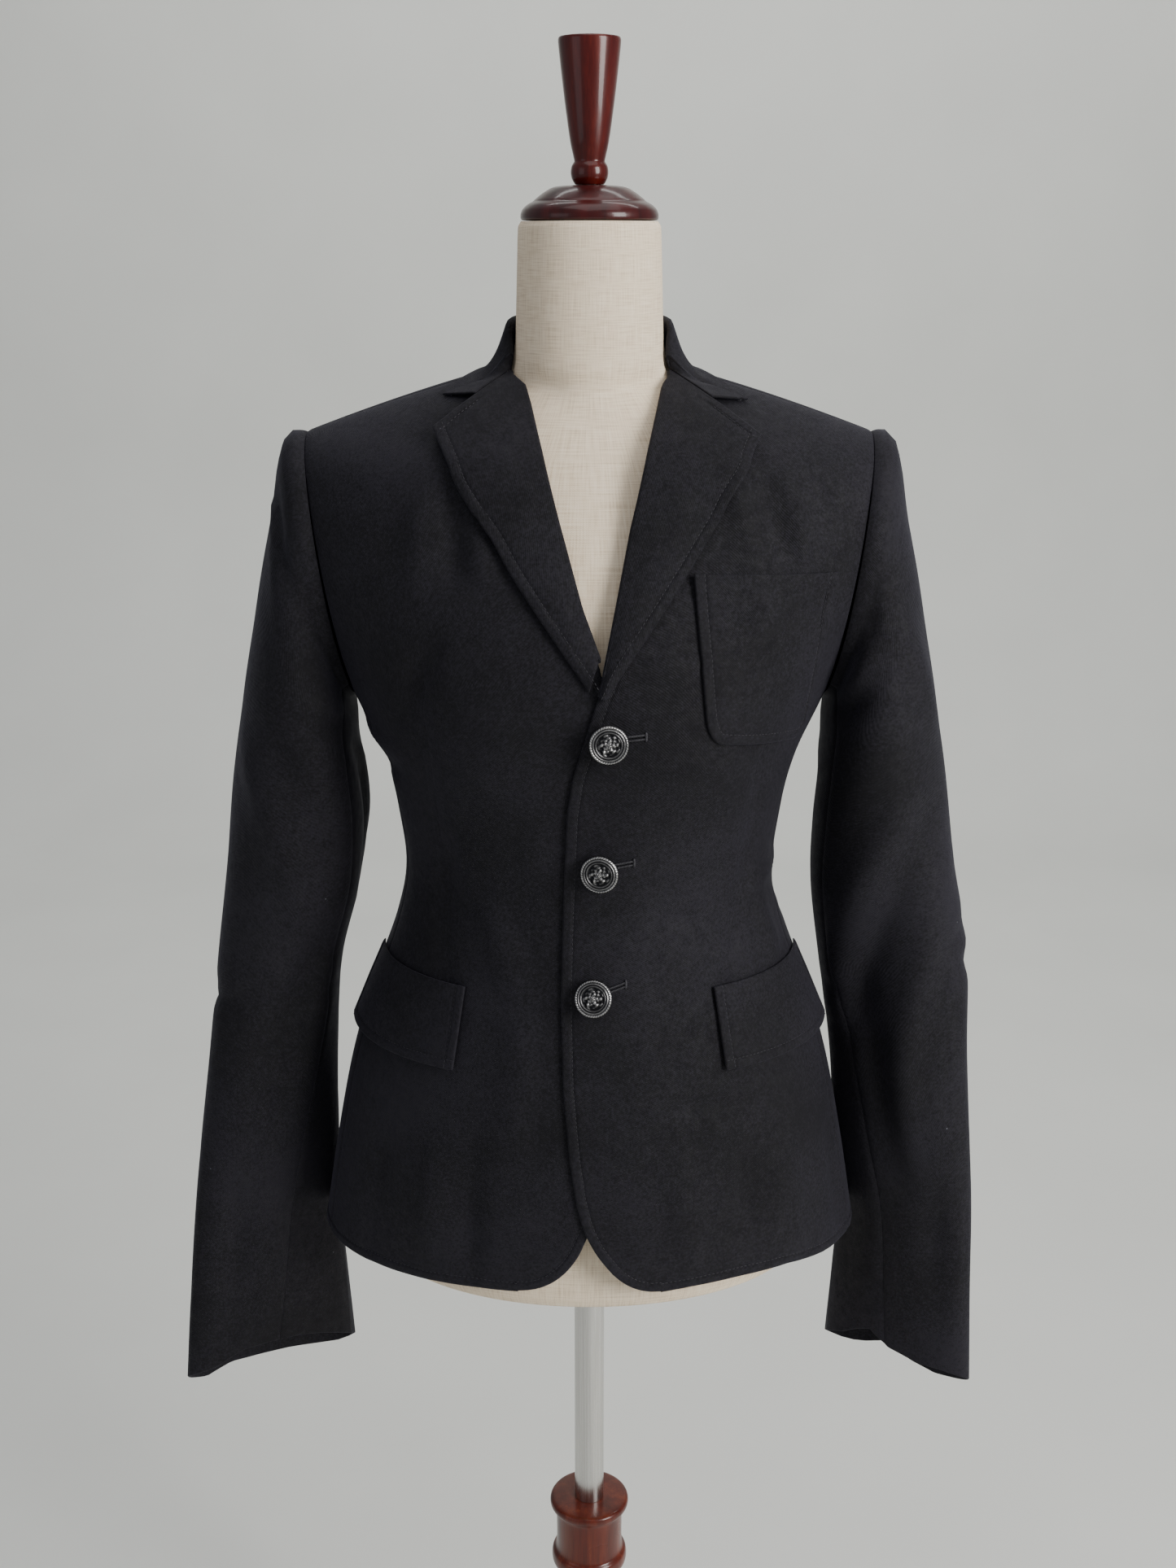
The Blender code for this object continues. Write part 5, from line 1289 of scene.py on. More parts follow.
def mahogany_material(name, dark, middle, light, seed):
    """Polished red mahogany: long grain, pores and a clear gloss coat over slightly uneven polish."""
    material, tree, shader, place = blank_material(name)
    long_way = mapped(tree, place, Location=(seed, seed, seed), Scale=(70.0, 70.0, 5.0))
    figure = noise(tree, long_way, 1.0, 4.0, 0.6)
    pores = noise(tree, mapped(tree, place, Scale=(900.0, 900.0, 45.0)), 1.0, 2.0, 0.6)
    tone = plus(tree, times(tree, figure, 0.75), times(tree, pores, 0.25))
    fill(tree, shader, {
        "Base Color": ramp(tree, tone, ((0.30, dark), (0.52, middle), (0.76, light))),
        "Roughness": ranged(tree, noise(tree, place, 26.0), 0.20, 0.40),
        "Coat Weight": 0.30,
        "Coat Roughness": 0.08,
        "Specular IOR Level": 0.28,
        "Normal": bump(tree, pores, 0.12, 0.0002),
    })
    return material


def steel_material():
    """Drawn and polished steel tube with fine lengthwise lines."""
    material, tree, shader, place = blank_material("Polished steel")
    lines = noise(tree, mapped(tree, place, Scale=(1500.0, 1500.0, 8.0)), 1.0, 3.0, 0.6)
    fill(tree, shader, {
        "Base Color": ramp(tree, lines, ((0.3, (0.50, 0.49, 0.47)), (0.7, (0.68, 0.67, 0.65)))),
        "Roughness": ranged(tree, lines, 0.18, 0.34),
        "Metallic": 1.0,
        "Normal": bump(tree, lines, 0.10, 0.0001),
    })
    return material


def button_material():
    """Cast gunmetal, dark in its hollows and bright where it is rubbed."""
    material, tree, shader, place = blank_material("Antique gunmetal")
    recess = add_node(tree, "ShaderNodeAttribute", {}, attribute_name="recess").outputs["Fac"]
    wear = plus(tree, recess, times(tree, noise(tree, place, 500.0), 0.25))
    fill(tree, shader, {
        "Base Color": ramp(tree, wear, ((0.24, (0.62, 0.61, 0.60)), (0.54, (0.20, 0.197, 0.197)),
                                        (0.85, (0.018, 0.018, 0.020)))),
        "Roughness": ranged(tree, wear, 0.16, 0.48),
        "Metallic": 1.0,
        "Normal": bump(tree, noise(tree, place, 1900.0), 0.15, 0.0001),
    })
    return material


FLOOR_COLOUR = (0.71, 0.715, 0.68)
FLOOR_PALER = 1.05


def paint_material():
    """Pale painted floor and wall, very faintly mottled."""
    material, tree, shader, place = blank_material("Pale paint")
    paler = tuple(value * FLOOR_PALER for value in FLOOR_COLOUR)
    fill(tree, shader, {
        "Base Color": ramp(tree, noise(tree, place, 3.0, 4.0), ((0.3, FLOOR_COLOUR), (0.7, paler))),
        "Roughness": 0.9,
    })
    return material


# The cut pieces laid flat, without their turned-in hems: greatest width, greatest length and area
Cut = namedtuple("Cut", "width length area")

# Darts of the fronts, seen from the front, from the top down
DARTS = {
    1: ((0.1120, 1.0888), (0.1085, 1.0380), (0.1021, 0.9897), (0.0929, 0.9284), (0.0905, 0.9050)),
    -1: ((0.1063, 1.1341), (0.1096, 1.1198), (0.1055, 1.0896), (0.1005, 1.0092), (0.0974, 0.9351),
         (0.0965, 0.9100)),
}
DART_LINE = (0.0011, 0.0011)
DART_PULL = (0.0019, 0.0085)
DART_POINTS = 25
DART_ROUNDS = 12
DART_FROM_EDGE = 0.12
BODY_STEP = 0.0046

# Where the rows of a front and a back are measured, and where the search for the dart begins
FRONT_MEASURE = 0.7
BACK_MEASURE = 0.6
DART_GUESS = 0.6

# A front's own edge draws back under the lapel's roll: the half width of a front, which turns a distance
# into an across value, and the height over which this sets in
ROLL_WIDTH = 0.16
ROLL_BEGINS = 0.01


def front_cloth(name, side, material, thread):
    """A front with its dart, its stitched edge and its stitched hem."""
    surface = front_surface(side)
    row = rows_at(surface, FRONT_MEASURE, 0.0, SHOULDER - SHOULDER_INSET, EDGE_STEPS, SEAM_STEPS,
                  BODY_STEP)
    dart_z = [point[1] for point in DARTS[side]][::-1]
    dart_x = [point[0] for point in DARTS[side]][::-1]
    place = np.full(row.shape, DART_GUESS)
    for _ in range(DART_ROUNDS):
        place = across_at_x(np.interp(body_point(place, row)[..., 2], dart_z, dart_x), row)
    start = front_edge_across(side, row)
    edge_z = body_point(start, row)[..., 2]
    start = start + ROLL_ROOM / ROLL_WIDTH * smoothstep((edge_z - LAPELS[side].foot.z) / ROLL_BEGINS)
    place = np.maximum(place, start + DART_FROM_EDGE)
    grid = laid_out(surface, row, start, seam_across(row), EDGE_STEPS, SEAM_STEPS, BODY_STEP, place)
    grid = grid + hem_raise(side, grid)
    x, z = np.array(DARTS[side]).T
    share = np.linspace(0, len(x) - 1, DART_POINTS)
    line = surface(*front_place(np.interp(share, range(len(x)), x), np.interp(share, range(len(x)), z)))
    return cloth_piece(name, grid, side, material, thread, stitched=("first", "low"),
                       sewn=("last", "high"), lines=((line, *DART_LINE), (line, *DART_PULL)))


# The upper front's hem rises a little towards the side, as far as the photograph shows
HEM_RISE_X = (0.045, 0.075, 0.105, 0.140, 0.170)
HEM_RISE = (0.0, 0.0022, 0.0045, 0.0048, 0.0010)
HEM_RISE_FADE = 0.09


def hem_raise(side, grid):
    """Moves the hem of the upper front up a little."""
    if side < 0:
        return 0.0
    fade = 1 - smoothstep((grid[..., 2] - LOW_ROWS[0].front_z) / HEM_RISE_FADE)
    rise = np.interp(grid[..., 0], HEM_RISE_X, HEM_RISE) * fade
    return np.stack([np.zeros_like(rise), np.zeros_like(rise), rise], axis=-1)


def back_cloth(name, side, material, thread):
    """A back with its centre and side seams."""
    surface = front_surface(side)
    row = rows_at(surface, BACK_MEASURE, SHOULDER + SHOULDER_INSET, BACK_HEM, SEAM_STEPS, EDGE_STEPS,
                  BODY_STEP)
    grid = laid_out(surface, row, back_edge_across(row), seam_across(row), SEAM_STEPS, SEAM_STEPS,
                    BODY_STEP)
    return cloth_piece(name, grid, side, material, thread, stitched=("high",),
                       sewn=("first", "last", "low"))


def side_cloth(name, side, material, thread):
    """The panel under the arm."""
    surface = side_surface(side)
    row = rows_at(surface, 0.0, 0.0, float(JOINT), EDGE_STEPS, SEAM_STEPS, BODY_STEP)
    width = np.linalg.norm(side_point(1.0, row) - side_point(-1.0, row), axis=-1)
    inset = 1 - 2 * seam_inset(row) / width
    grid = laid_out(surface, row, -inset, inset, SEAM_STEPS, SEAM_STEPS, BODY_STEP)
    return cloth_piece(name, grid, side, material, thread, stitched=("low",),
                       sewn=("first", "last", "high"))


# Sleeve hems: how much higher the cuff's edge is than the plain cuff, by the angle from its outer point
CUFF_ANGLES = (0.0, 42.0, 65.0, 87.0, 104.0, 118.0, 131.0, 150.0, 180.0)
CUFF_RISE = {
    1: (0.0, -0.0020, -0.0030, 0.0015, 0.0130, 0.0070, 0.0020, 0.0, 0.0),
    -1: (0.0, -0.0010, 0.0075, 0.0080, 0.0075, 0.0055, 0.0030, 0.0, 0.0),
}
SLEEVE_STEP = 0.0052
SLEEVE_SEAM_ROOM = 0.00003

# The rings over which a sleeve's creases set in, and after which its cuff is shaped
CREASES_FROM = 0.8
CREASES_FADE = 1.2
CUFF_FROM = 12.0

# The angles at which the rings of a top sleeve and an under sleeve are measured
TOP_MEASURE = 90.0
UNDER_MEASURE = 200.0


def creased_sleeve(side):
    """A sleeve's surface with its creases and the wave of its cuff, and its ring table."""
    plain, table = sleeve_surface(LEFT_RINGS if side > 0 else RIGHT_RINGS)
    lines = [fold_line(fold, plain) for fold in SLEEVE_FOLDS[side]]

    def surface(angle, ring):
        point = plain(angle, ring)
        normal = surface_normal(plain, angle, ring)
        fade = smoothstep((np.asarray(ring) - CREASES_FROM) / CREASES_FADE)
        point = point + normal * (crease_height(point, lines) * fade)[..., None]
        turn = np.abs((np.asarray(angle) + 180.0) % 360.0 - 180.0)
        cuff = smoothstep(np.asarray(ring) - CUFF_FROM)
        point[..., 2] += np.interp(turn, CUFF_ANGLES, CUFF_RISE[side]) * cuff
        return point
    return surface, table


def sleeve_cloth(name, side, material, thread):
    """A top sleeve or an under sleeve."""
    surface, table = creased_sleeve(side)
    top = name.startswith("sleeve_top")
    measure = TOP_MEASURE if top else UNDER_MEASURE
    ring = rows_at(surface, measure, 0.0, len(table) - 1.0, SEAM_STEPS, SEAM_STEPS, SLEEVE_STEP)
    values = smooth_rows(table, ring)
    seam_front = values[:, 8]
    seam_back = -values[:, 9]
    inset = np.degrees(SLEEVE_SEAM_ROOM / values[:, 5])
    if top:
        start = seam_back + inset
        end = seam_front - inset
    else:
        start = seam_front + inset
        end = 360 + seam_back - inset
    grid = laid_out(surface, ring, start, end, SEAM_STEPS, SEAM_STEPS, SLEEVE_STEP)
    return cloth_piece(name, grid, side, material, thread, sewn=("first", "last", "low"))


ROLL_TURN = 150.0
ROLL_INNER = 0.0006
ROLL_ROOM = 0.0019
FOOT_TAPER = 0.0015


def lapel_surface(side):
    """A lapel, across from its rolled edge (-1 to 0) to its outer edge (1) and up from its foot (0)."""
    shape = LAPELS[side]
    surface = front_surface(side)

    def lapel_point(out, along):
        along = along[:, :1]
        share = np.clip(out, 0.0, 1.0)
        roll_foot = shape.foot.z + FOOT_TAPER if side > 0 else shape.roll_foot.z
        roll_z = roll_foot + (shape.roll_top.z - roll_foot) * along
        roll_least = 0.0 if side > 0 else shape.roll_foot.x
        roll_x = np.clip(front_edge_x(side, roll_z), roll_least, shape.roll_top.x) + ROLL_ROOM
        edge_x = shape.foot.x + (shape.tip.x - shape.foot.x) * along + LAPEL_BULGE * np.sin(math.pi * along)
        edge_x = edge_x + ROLL_ROOM * (1 - along)
        edge_z = shape.foot.z + (shape.tip.z - shape.foot.z) * along
        x = roll_x + (edge_x - roll_x) * share
        z = roll_z + (edge_z - roll_z) * share
        edge_lift = LAPEL_EDGE_LIFT * share ** 2 * along
        roll_lift = LAPEL_ROLL_LIFT * np.sin(math.pi * share)
        flat = front_lifted(side, x, z, LAPEL_LIFT + roll_lift + edge_lift)
        place = front_place(roll_x, roll_z)
        foot = surface(*place)
        up = surface_normal(surface, *place)
        aside = surface(place[0] + 0.01, place[1]) - foot
        aside /= np.linalg.norm(aside, axis=-1, keepdims=True)
        turn = radians(ROLL_TURN) * np.clip(-out, 0.0, 1.0)[..., None]
        round_roll = ROLL_INNER * (up * np.cos(turn) - aside * np.sin(turn))
        rolled = foot + up * (LAPEL_LIFT - ROLL_INNER) + round_roll
        return np.where((out < 0)[..., None], rolled, flat)
    return lapel_point


LAPEL_STEP = 0.0040
ROLL_END = 0.0016
ROLL_STEPS = tuple(np.linspace(0.0, 1.0, 8) * ROLL_END)


def lapel_cloth(name, side, material, thread):
    """A lapel with its rolled edge and its stitched outer edge."""
    surface = lapel_surface(side)
    along = rows_at(surface, 0.5, 0.0, 1.0, SEAM_STEPS, EDGE_STEPS, LAPEL_STEP)
    grid = laid_out(surface, along, -1.0, 1.0, ROLL_STEPS, EDGE_STEPS, LAPEL_STEP)
    return cloth_piece(name, grid, side, material, thread, stitched=("last", "high"),
                       notch=LAPELS[side].notch)


COLLAR_STEP = 0.0042
LEAF_STEP = 0.0030
COLLAR_END = (-1.0, -0.75, -0.45, -0.15, 0.02)
COLLAR_TIP = COLLAR_PLACES.index(5.0)
NEAR_TIP = (-1.0, -0.5, 0.0, 0.5, 1.0)


def collar_half(side):
    """Half the collar from the centre back, over its tip and straight on to the lapel's notch line."""
    lines = [collar_line(side, place) for place in COLLAR_PLACES[:COLLAR_TIP + 1]]
    out = np.array([*COLLAR_END, *(np.array(LEAF_SHARES) * LAPELS[side].notch)])[None, :]
    end = lapel_surface(side)(out, np.ones_like(out))[0] + np.array([0.0, 0.0, WALL / 2 + GORGE_GAP])
    tip = lines[-1]
    for place in COLLAR_PLACES[COLLAR_TIP + 1:]:
        share = place - COLLAR_PLACES[COLLAR_TIP]
        lines.append(tip * (1 - share) + end * share)
    return np.array(lines)


def collar_cloth(name, material, thread):
    """The collar, folded over its stand."""
    right = collar_half(-1)
    coarse = np.concatenate([right[:0:-1] * np.array([-1.0, 1.0, 1.0]), collar_half(1)])
    size = coarse.shape[1]
    table = coarse.reshape(len(coarse), -1)

    def surface(across, along):
        lines = smooth_rows(table, along[:, 0]).reshape(len(along), size, 3)
        return np.array([smooth_rows(line, place) for line, place in zip(lines, across)])

    along = rows_at(surface, size - 1.5, 0.0, len(coarse) - 1.0, SEAM_STEPS, SEAM_STEPS, COLLAR_STEP)
    back = len(COLLAR_PLACES) - 1
    near_tips = [back + side * COLLAR_TIP + step for side in (1, -1) for step in NEAR_TIP]
    along = np.union1d(along, near_tips)
    grid = laid_out(surface, along, 0.0, size - 1.0, SEAM_STEPS, EDGE_STEPS, LEAF_STEP)
    return cloth_piece(name, grid, 1, material, thread, stitched=("last",), sewn=("first",),
                       lift=-WALL / 2)


def pocket_surface(out, along):
    """The chest pocket, across from its front and up from its foot."""
    down = 1 - along
    low_part = np.clip((down - 1 + POCKET_CORNER) / POCKET_CORNER, 0.0, 1.0)
    inset = POCKET_CORNER_IN * (1 - np.sqrt(1 - low_part ** 2))
    out = (inset + (1 - 2 * inset) * out)[..., None]
    front = np.array(POCKET_TOP_FRONT) + (np.array(POCKET_FOOT_FRONT) - POCKET_TOP_FRONT) * down[..., None]
    back = np.array(POCKET_TOP_BACK) + (np.array(POCKET_FOOT_BACK) - POCKET_TOP_BACK) * down[..., None]
    place = front + (back - front) * out
    gape = POCKET_GAPE * smoothstep((along - GAPE_FROM) / (1 - GAPE_FROM))
    return front_lifted(1, place[..., 0], place[..., 1], WALL + LAY + gape)


def pocket_cloth(name, material, thread):
    """The patch pocket, stitched down its sides and across its foot."""
    along = rows_at(pocket_surface, 0.5, 0.0, 1.0, EDGE_STEPS, SEAM_STEPS, PATCH_STEP)
    grid = laid_out(pocket_surface, along, 0.0, 1.0, EDGE_STEPS, EDGE_STEPS, PATCH_STEP)
    return cloth_piece(name, grid, 1, material, thread, stitched=("first", "low", "last"))


def flap_surface(side):
    """A flap, across from its front end and up from its lower edge."""
    creases = BODY_LINES[side]

    def surface(back, along):
        down = 1 - along
        row = skirt_row(FLAP_TOP_Z + (FLAP_BOTTOM_Z - FLAP_TOP_Z) * down)
        half = low_values(row)[1]
        front_x = FLAP_FRONT_TOP + (FLAP_FRONT_BOTTOM - FLAP_FRONT_TOP) * down
        start = np.degrees(np.arcsin(front_x / half))
        angle = start + (FLAP_BACK_ANGLE - start) * back
        stand = FLAP_STAND * down ** FLAP_CURL * (FLAP_FRONT_STAND + (1 - FLAP_FRONT_STAND) * back)
        lift = WALL + LAY + FLAP_CLEAR + stand
        point = ring_point(angle, row)
        lift = lift + np.maximum(crease_height(point, creases), -FLAP_CLEAR) * (1 - 0.5 * down)
        return point + surface_normal(ring_point, angle, row) * lift[..., None]
    return surface


def flap_cloth(name, side, material, thread):
    """A hip pocket flap, stitched round its loose edges."""
    surface = flap_surface(side)
    along = rows_at(surface, 0.5, 0.0, 1.0, EDGE_STEPS, SEAM_STEPS, PATCH_STEP)
    grid = laid_out(surface, along, 0.0, 1.0, EDGE_STEPS, EDGE_STEPS, PATCH_STEP)
    return cloth_piece(name, grid, side, material, thread, stitched=("first", "low", "last"),
                       sewn=("high",))


# Buttonholes: each runs from its button to a bar at its far end, seen from the front
HOLE_BARS = ((0.0351, 1.1063), (0.0281, 1.0182), (0.0234, 0.9316))
HOLE_HALF = 0.0013
CORD_RADIUS = 0.00085
CORD_SUNK = 0.30
BAR_CORD = 1.25
RIB_PITCH = 0.00068
RIB_DEPTH = 0.20
BAR_HALF = 0.0032
HOLE_POINTS = 12
BAR_POINTS = 8
TUBE_END = 0.06
TUBE_SIDES = 8


def ribbed_tube(points, faces, path, up, radius):
    """Adds a tube of buttonhole stitches, ribbed across its length."""
    length = lengths_along(path, 0)[-1]
    count = max(int(length / (RIB_PITCH / 3)), 6)
    places = np.linspace(0.0, length, count)
    middle, _, over, aside = followed(path, up, places)
    size = radius * (1 + RIB_DEPTH * np.cos(2 * math.pi * places / RIB_PITCH))
    size *= np.sqrt(np.clip(np.minimum(places, length - places) / radius, TUBE_END, 1.0))
    add_tube(points, faces, list(zip(middle, aside, over, size)), TUBE_SIDES)


def buttonhole(name, button_at, bar_at, material):
    """Two rows of close stitches along a slit, with a bar across the far end."""
    points = []
    faces = []
    surface = front_surface(1)

    def on_cloth(x, z):
        place = front_place(x, z)
        up = surface_normal(surface, *place)
        return surface(*place) + up * (WALL + CORD_RADIUS * CORD_SUNK), up

    share = np.linspace(0.0, 1.0, HOLE_POINTS)
    x = button_at[0] + (bar_at[0] - button_at[0]) * share
    z = button_at[1] + (bar_at[1] - button_at[1]) * share
    for aside in (HOLE_HALF, -HOLE_HALF):
        ribbed_tube(points, faces, *on_cloth(x, z + aside), CORD_RADIUS)
    bar_z = bar_at[1] + np.linspace(-BAR_HALF, BAR_HALF, BAR_POINTS)
    ribbed_tube(points, faces, *on_cloth(np.full(BAR_POINTS, bar_at[0]), bar_z), CORD_RADIUS * BAR_CORD)
    thing = finished(name, new_mesh(name, points, faces), material)
    return thing


# Buttons, in millimetres: a rope rim, two rings, and a rosette with scrolls in a round field
BUTTON_RADIUS = 12.7
BUTTON_CROWN = 4.55
BUTTON_DOME = 1.35
FIELD_RADIUS = 8.0
BUTTON_UNDER = ((12.7, 2.5), (12.3, 1.6), (9.5, 1.0), (6.0, 0.6), (2.2, 0.2), (2.2, -5.0), (0.01, -5.0))
UNDER_TONE = 0.75
RELIEF_RINGS = 54
RELIEF_TURNS = 132
BEADS = 44
PETALS = 6
SCROLLS = 5
SCROLL_LEAVES = 8
SCROLL_TWIST = 0.9


def button_dome(radius):
    """Height of the plain button's face at a radius."""
    return BUTTON_CROWN - BUTTON_DOME * (radius / BUTTON_RADIUS) ** 2.6


def ridge(radius, middle, width):
    """A round ridge, 1 high, at a radius."""
    return np.exp(-((radius - middle) / width) ** 2)


def button_height(radius, turn):
    """Height of the button's face at a radius and an angle."""
    rim = ridge(radius, 11.6, 0.70) * (0.75 + 0.28 * np.cos(BEADS * turn + 2.2 * radius))
    rings = 0.62 * ridge(radius, 9.9, 0.48) + 0.42 * ridge(radius, 8.3, 0.36)
    field = -0.25 * smoothstep((FIELD_RADIUS - radius) / 0.5)
    within = smoothstep((7.6 - radius) / 0.7)
    petal_edge = 5.4 + 1.5 * np.cos(PETALS * turn)
    petals = 0.34 * smoothstep((petal_edge - radius) / 0.9)
    scrolls = 0.34 * np.cos(SCROLLS * turn + SCROLL_TWIST * radius) * np.cos(1.5 * radius - 1.0)
    leaves = 0.26 * np.cos(SCROLL_LEAVES * turn - 1.3 * radius) * smoothstep((radius - 2.6) / 1.0)
    boss = 0.42 * ridge(radius, 0.0, 1.35)
    return button_dome(radius) + rim + rings + field + petals + within * (scrolls + leaves) + boss


def cast_button(name, node, x, z, turn_angles, material):
    """A cast shank button where the frame has its plain one."""
    turn = even_turns(RELIEF_TURNS)
    reach, angle = np.meshgrid(np.linspace(0.0, 1.0, RELIEF_RINGS) * BUTTON_RADIUS, turn, indexing="ij")
    height = button_height(reach, angle)
    relief = height - button_dome(reach)
    recess = np.clip(np.where(reach < FIELD_RADIUS, 0.60 - 0.62 * relief, 0.84 - 0.80 * relief), 0.0, 1.0)
    reach[0] = 0.01
    rings = [*np.stack([reach * np.cos(turn), reach * np.sin(turn), height], axis=-1),
             *(level_ring(radius, low, turn) for radius, low in BUTTON_UNDER)]
    tones = np.concatenate([recess.ravel(), np.full(len(BUTTON_UNDER) * RELIEF_TURNS, UNDER_TONE)])
    place = front_place(x, z)
    surface = front_surface(1)
    normal = surface_normal(surface, *place)
    up = math.atan2(normal[2], -normal[1])
    nod, swing = (math.radians(angle) for angle in turn_angles)
    spin = Euler((math.pi / 2 - up - nod, 0.0, swing), "XYZ")
    centre = surface(*place) + normal * (WALL + LAY + SHANK_FOOT)
    points = np.concatenate(rings) / 1000 @ np.array(spin.to_matrix()).T + centre
    mesh = new_mesh(name, points, ring_faces(rings))
    layer = mesh.attributes.new("recess", "FLOAT", "POINT")
    layer.data.foreach_set("value", tones.astype(np.float32))
    thing = finished(name, mesh, material)
    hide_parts(node)


# Turned pieces
TURNED_SEGMENTS = 88
CORNER_CUT = 0.22
AXIS_RADIUS = 1e-5
TURNED_EDGE = 50.0


def softened(profile, passes):
    """A profile with its corners cut in a number of passes; its ends stay."""
    points = np.array(profile)
    for _ in range(passes):
        cut = [points[0]]
        for start, end in zip(points, points[1:]):
            cut += [start * (1 - share) + end * share for share in (CORNER_CUT, 1 - CORNER_CUT)]
        points = np.array([*cut, points[-1]])
    return points


def turned_piece(name, node, profile, material, passes=2):
    """A solid turned about the pole's axis from a profile of radius and height, top first."""
    turn = even_turns(TURNED_SEGMENTS)
    rings = [level_ring(max(radius, AXIS_RADIUS), z, turn) for radius, z in softened(profile, passes)]
    mesh = new_mesh(name, np.concatenate(rings), ring_faces(rings))
    thing = finished(name, mesh, material)
    mesh.set_sharp_from_angle(angle=math.radians(TURNED_EDGE))
    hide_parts(node)


# How far the form's rings are blended along its height: depths, then widths and squareness
BLEND_Z = (0.679, 0.700, 0.740, 1.250, 1.280, 1.335, 1.385, 1.402, 1.414)
BLEND_DEPTH = (0.0008, 0.004, 0.020, 0.016, 0.009, 0.009, 0.008, 0.002, 0.0006)
BLEND_WIDTH = (0.0008, 0.004, 0.020, 0.010, 0.0016, 0.006, 0.008, 0.002, 0.0006)
BLEND_PAST = 0.06
BLEND_DENSE = 1711
FORM_SEGMENTS = 144
FORM_PARTS = 7
RIDGE_ROUND = 0.016
RIDGE_FULL = 0.4
FORM_EDGE = 60.0


def blended(z, values, reach):
    """Values given on the form's rings, blended along the height."""
    dense = np.linspace(FORM_FOOT - BLEND_PAST, FORM_TOP + BLEND_PAST, BLEND_DENSE)
    plain = np.interp(dense, [ring.z for ring in FORM], values)
    spread_out = np.interp(z, BLEND_Z, reach)
    weight = np.exp(-((z[:, None] - dense) / spread_out[:, None]) ** 2)
    return weight @ plain / weight.sum(axis=1)


def form_piece(material):
    """The stuffed torso and neck, smooth all round."""
    count = FORM_PARTS * (len(FORM) - 1) + 1
    z = np.interp(np.linspace(0, len(FORM) - 1, count), range(len(FORM)), [ring.z for ring in FORM])[::-1]
    half = blended(z, [ring.half_width for ring in FORM], BLEND_WIDTH)[:, None]
    square = blended(z, [ring.square for ring in FORM], BLEND_WIDTH)[:, None]
    front = blended(z, [ring.front for ring in FORM], BLEND_DEPTH)[:, None]
    back = blended(z, [ring.back for ring in FORM], BLEND_DEPTH)[:, None]
    turn = even_turns(FORM_SEGMENTS)[None, :]
    x = half * np.sign(np.cos(turn)) * np.abs(np.cos(turn)) ** (2 / square)
    # A ring with a squareness under 2 has a ridge at its front and back, which is rounded here
    room = RIDGE_ROUND * np.clip((2.0 - square) / RIDGE_FULL, 1e-3, 1.0)
    aside = np.where((np.abs(x) < room) & (square < 2.0), x * x / (2 * room) + room / 2, np.abs(x))
    share = np.clip(1 - (aside / half) ** square, 0.0, 1.0) ** (1 / square)
    y = np.where(np.sin(turn) > 0, back, -front) * share
    rings = np.stack([x, y, np.broadcast_to(z[:, None], x.shape)], axis=-1)
    mesh = new_mesh("form_linen", rings.reshape(-1, 3), ring_faces(rings))
    thing = finished("form_linen", mesh, material)
    mesh.set_sharp_from_angle(angle=math.radians(FORM_EDGE))
    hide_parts("dress_form")


# The cloth of each side: what makes it, its name, its material's name and the turn of its weave
PAIRED = (
    (front_cloth, "front", "Front twill", 0.0),
    (back_cloth, "back", "Back twill", 0.0),
    (side_cloth, "side", "Side twill", 0.0),
    (sleeve_cloth, "sleeve_top", "Top sleeve twill", 0.1),
    (sleeve_cloth, "sleeve_under", "Under sleeve twill", 0.0),
    (lapel_cloth, "lapel", "Lapel twill", 0.3),
    (flap_cloth, "flap", "Flap twill", 0.2),
)


def dress_blazer():
    """All the cloth, thread and metal of the blazer."""
    thread = thread_material()
    for side, word in ((1, "left"), (-1, "right")):
        for make, part, look, turn in PAIRED:
            make(f"{part}_{word}", side, twill_material(f"{look} {word}", turn), thread)
    collar_cloth("collar", twill_material("Collar twill", 0.8), thread)
    pocket_cloth("pocket_chest", twill_material("Pocket twill", 0.1), thread)
    metal = button_material()
    for number, (x, z, turn, bar) in enumerate(zip(BUTTON_X, BUTTON_Z, BUTTON_TURN, HOLE_BARS), 1):
        cast_button(f"button_{number}_cast", f"button_{number}", x, z, turn, metal)
        buttonhole(f"buttonhole_{number}", (x, z), bar, thread)


def dress_stand():
    """The form's linen, the turned mahogany and the steel."""
    form_piece(linen_material())
    cap = mahogany_material("Cap mahogany", (0.016, 0.0010, 0.0010), (0.044, 0.0028, 0.0026),
                            (0.075, 0.0066, 0.0048), 2.0)
    finial = mahogany_material("Finial mahogany", (0.022, 0.0013, 0.0010), (0.064, 0.0044, 0.0027),
                               (0.125, 0.0130, 0.0062), 5.0)
    column = mahogany_material("Column mahogany", (0.035, 0.0042, 0.0020), (0.095, 0.0130, 0.0052),
                               (0.190, 0.0360, 0.0120), 9.0)
    turned_piece("neck_cap_turned", "neck_cap", shifted(CAP_PROFILE, FORM_TOP + GAP), cap)
    finial_foot = FORM_TOP + CAP_HEIGHT + 2 * GAP
    turned_piece("finial_turned", "finial", shifted(FINIAL_PROFILE, finial_foot), finial)
    turned_piece("stand_turned", "stand_column", STAND_PROFILE, column)
    pole_top = FORM_FOOT - GAP
    pole_foot = DISC_TOP + GAP
    turned_piece("pole_tube", "pole", ((0.0, pole_top), (POLE_RADIUS, pole_top), (POLE_RADIUS, pole_foot),
                                       (0.0, pole_foot)), steel_material(), 0)
    for number in (1, 2, 3):
        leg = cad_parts[f"leg_{number}"]
        leg.data.materials.clear()
        leg.data.materials.append(column)


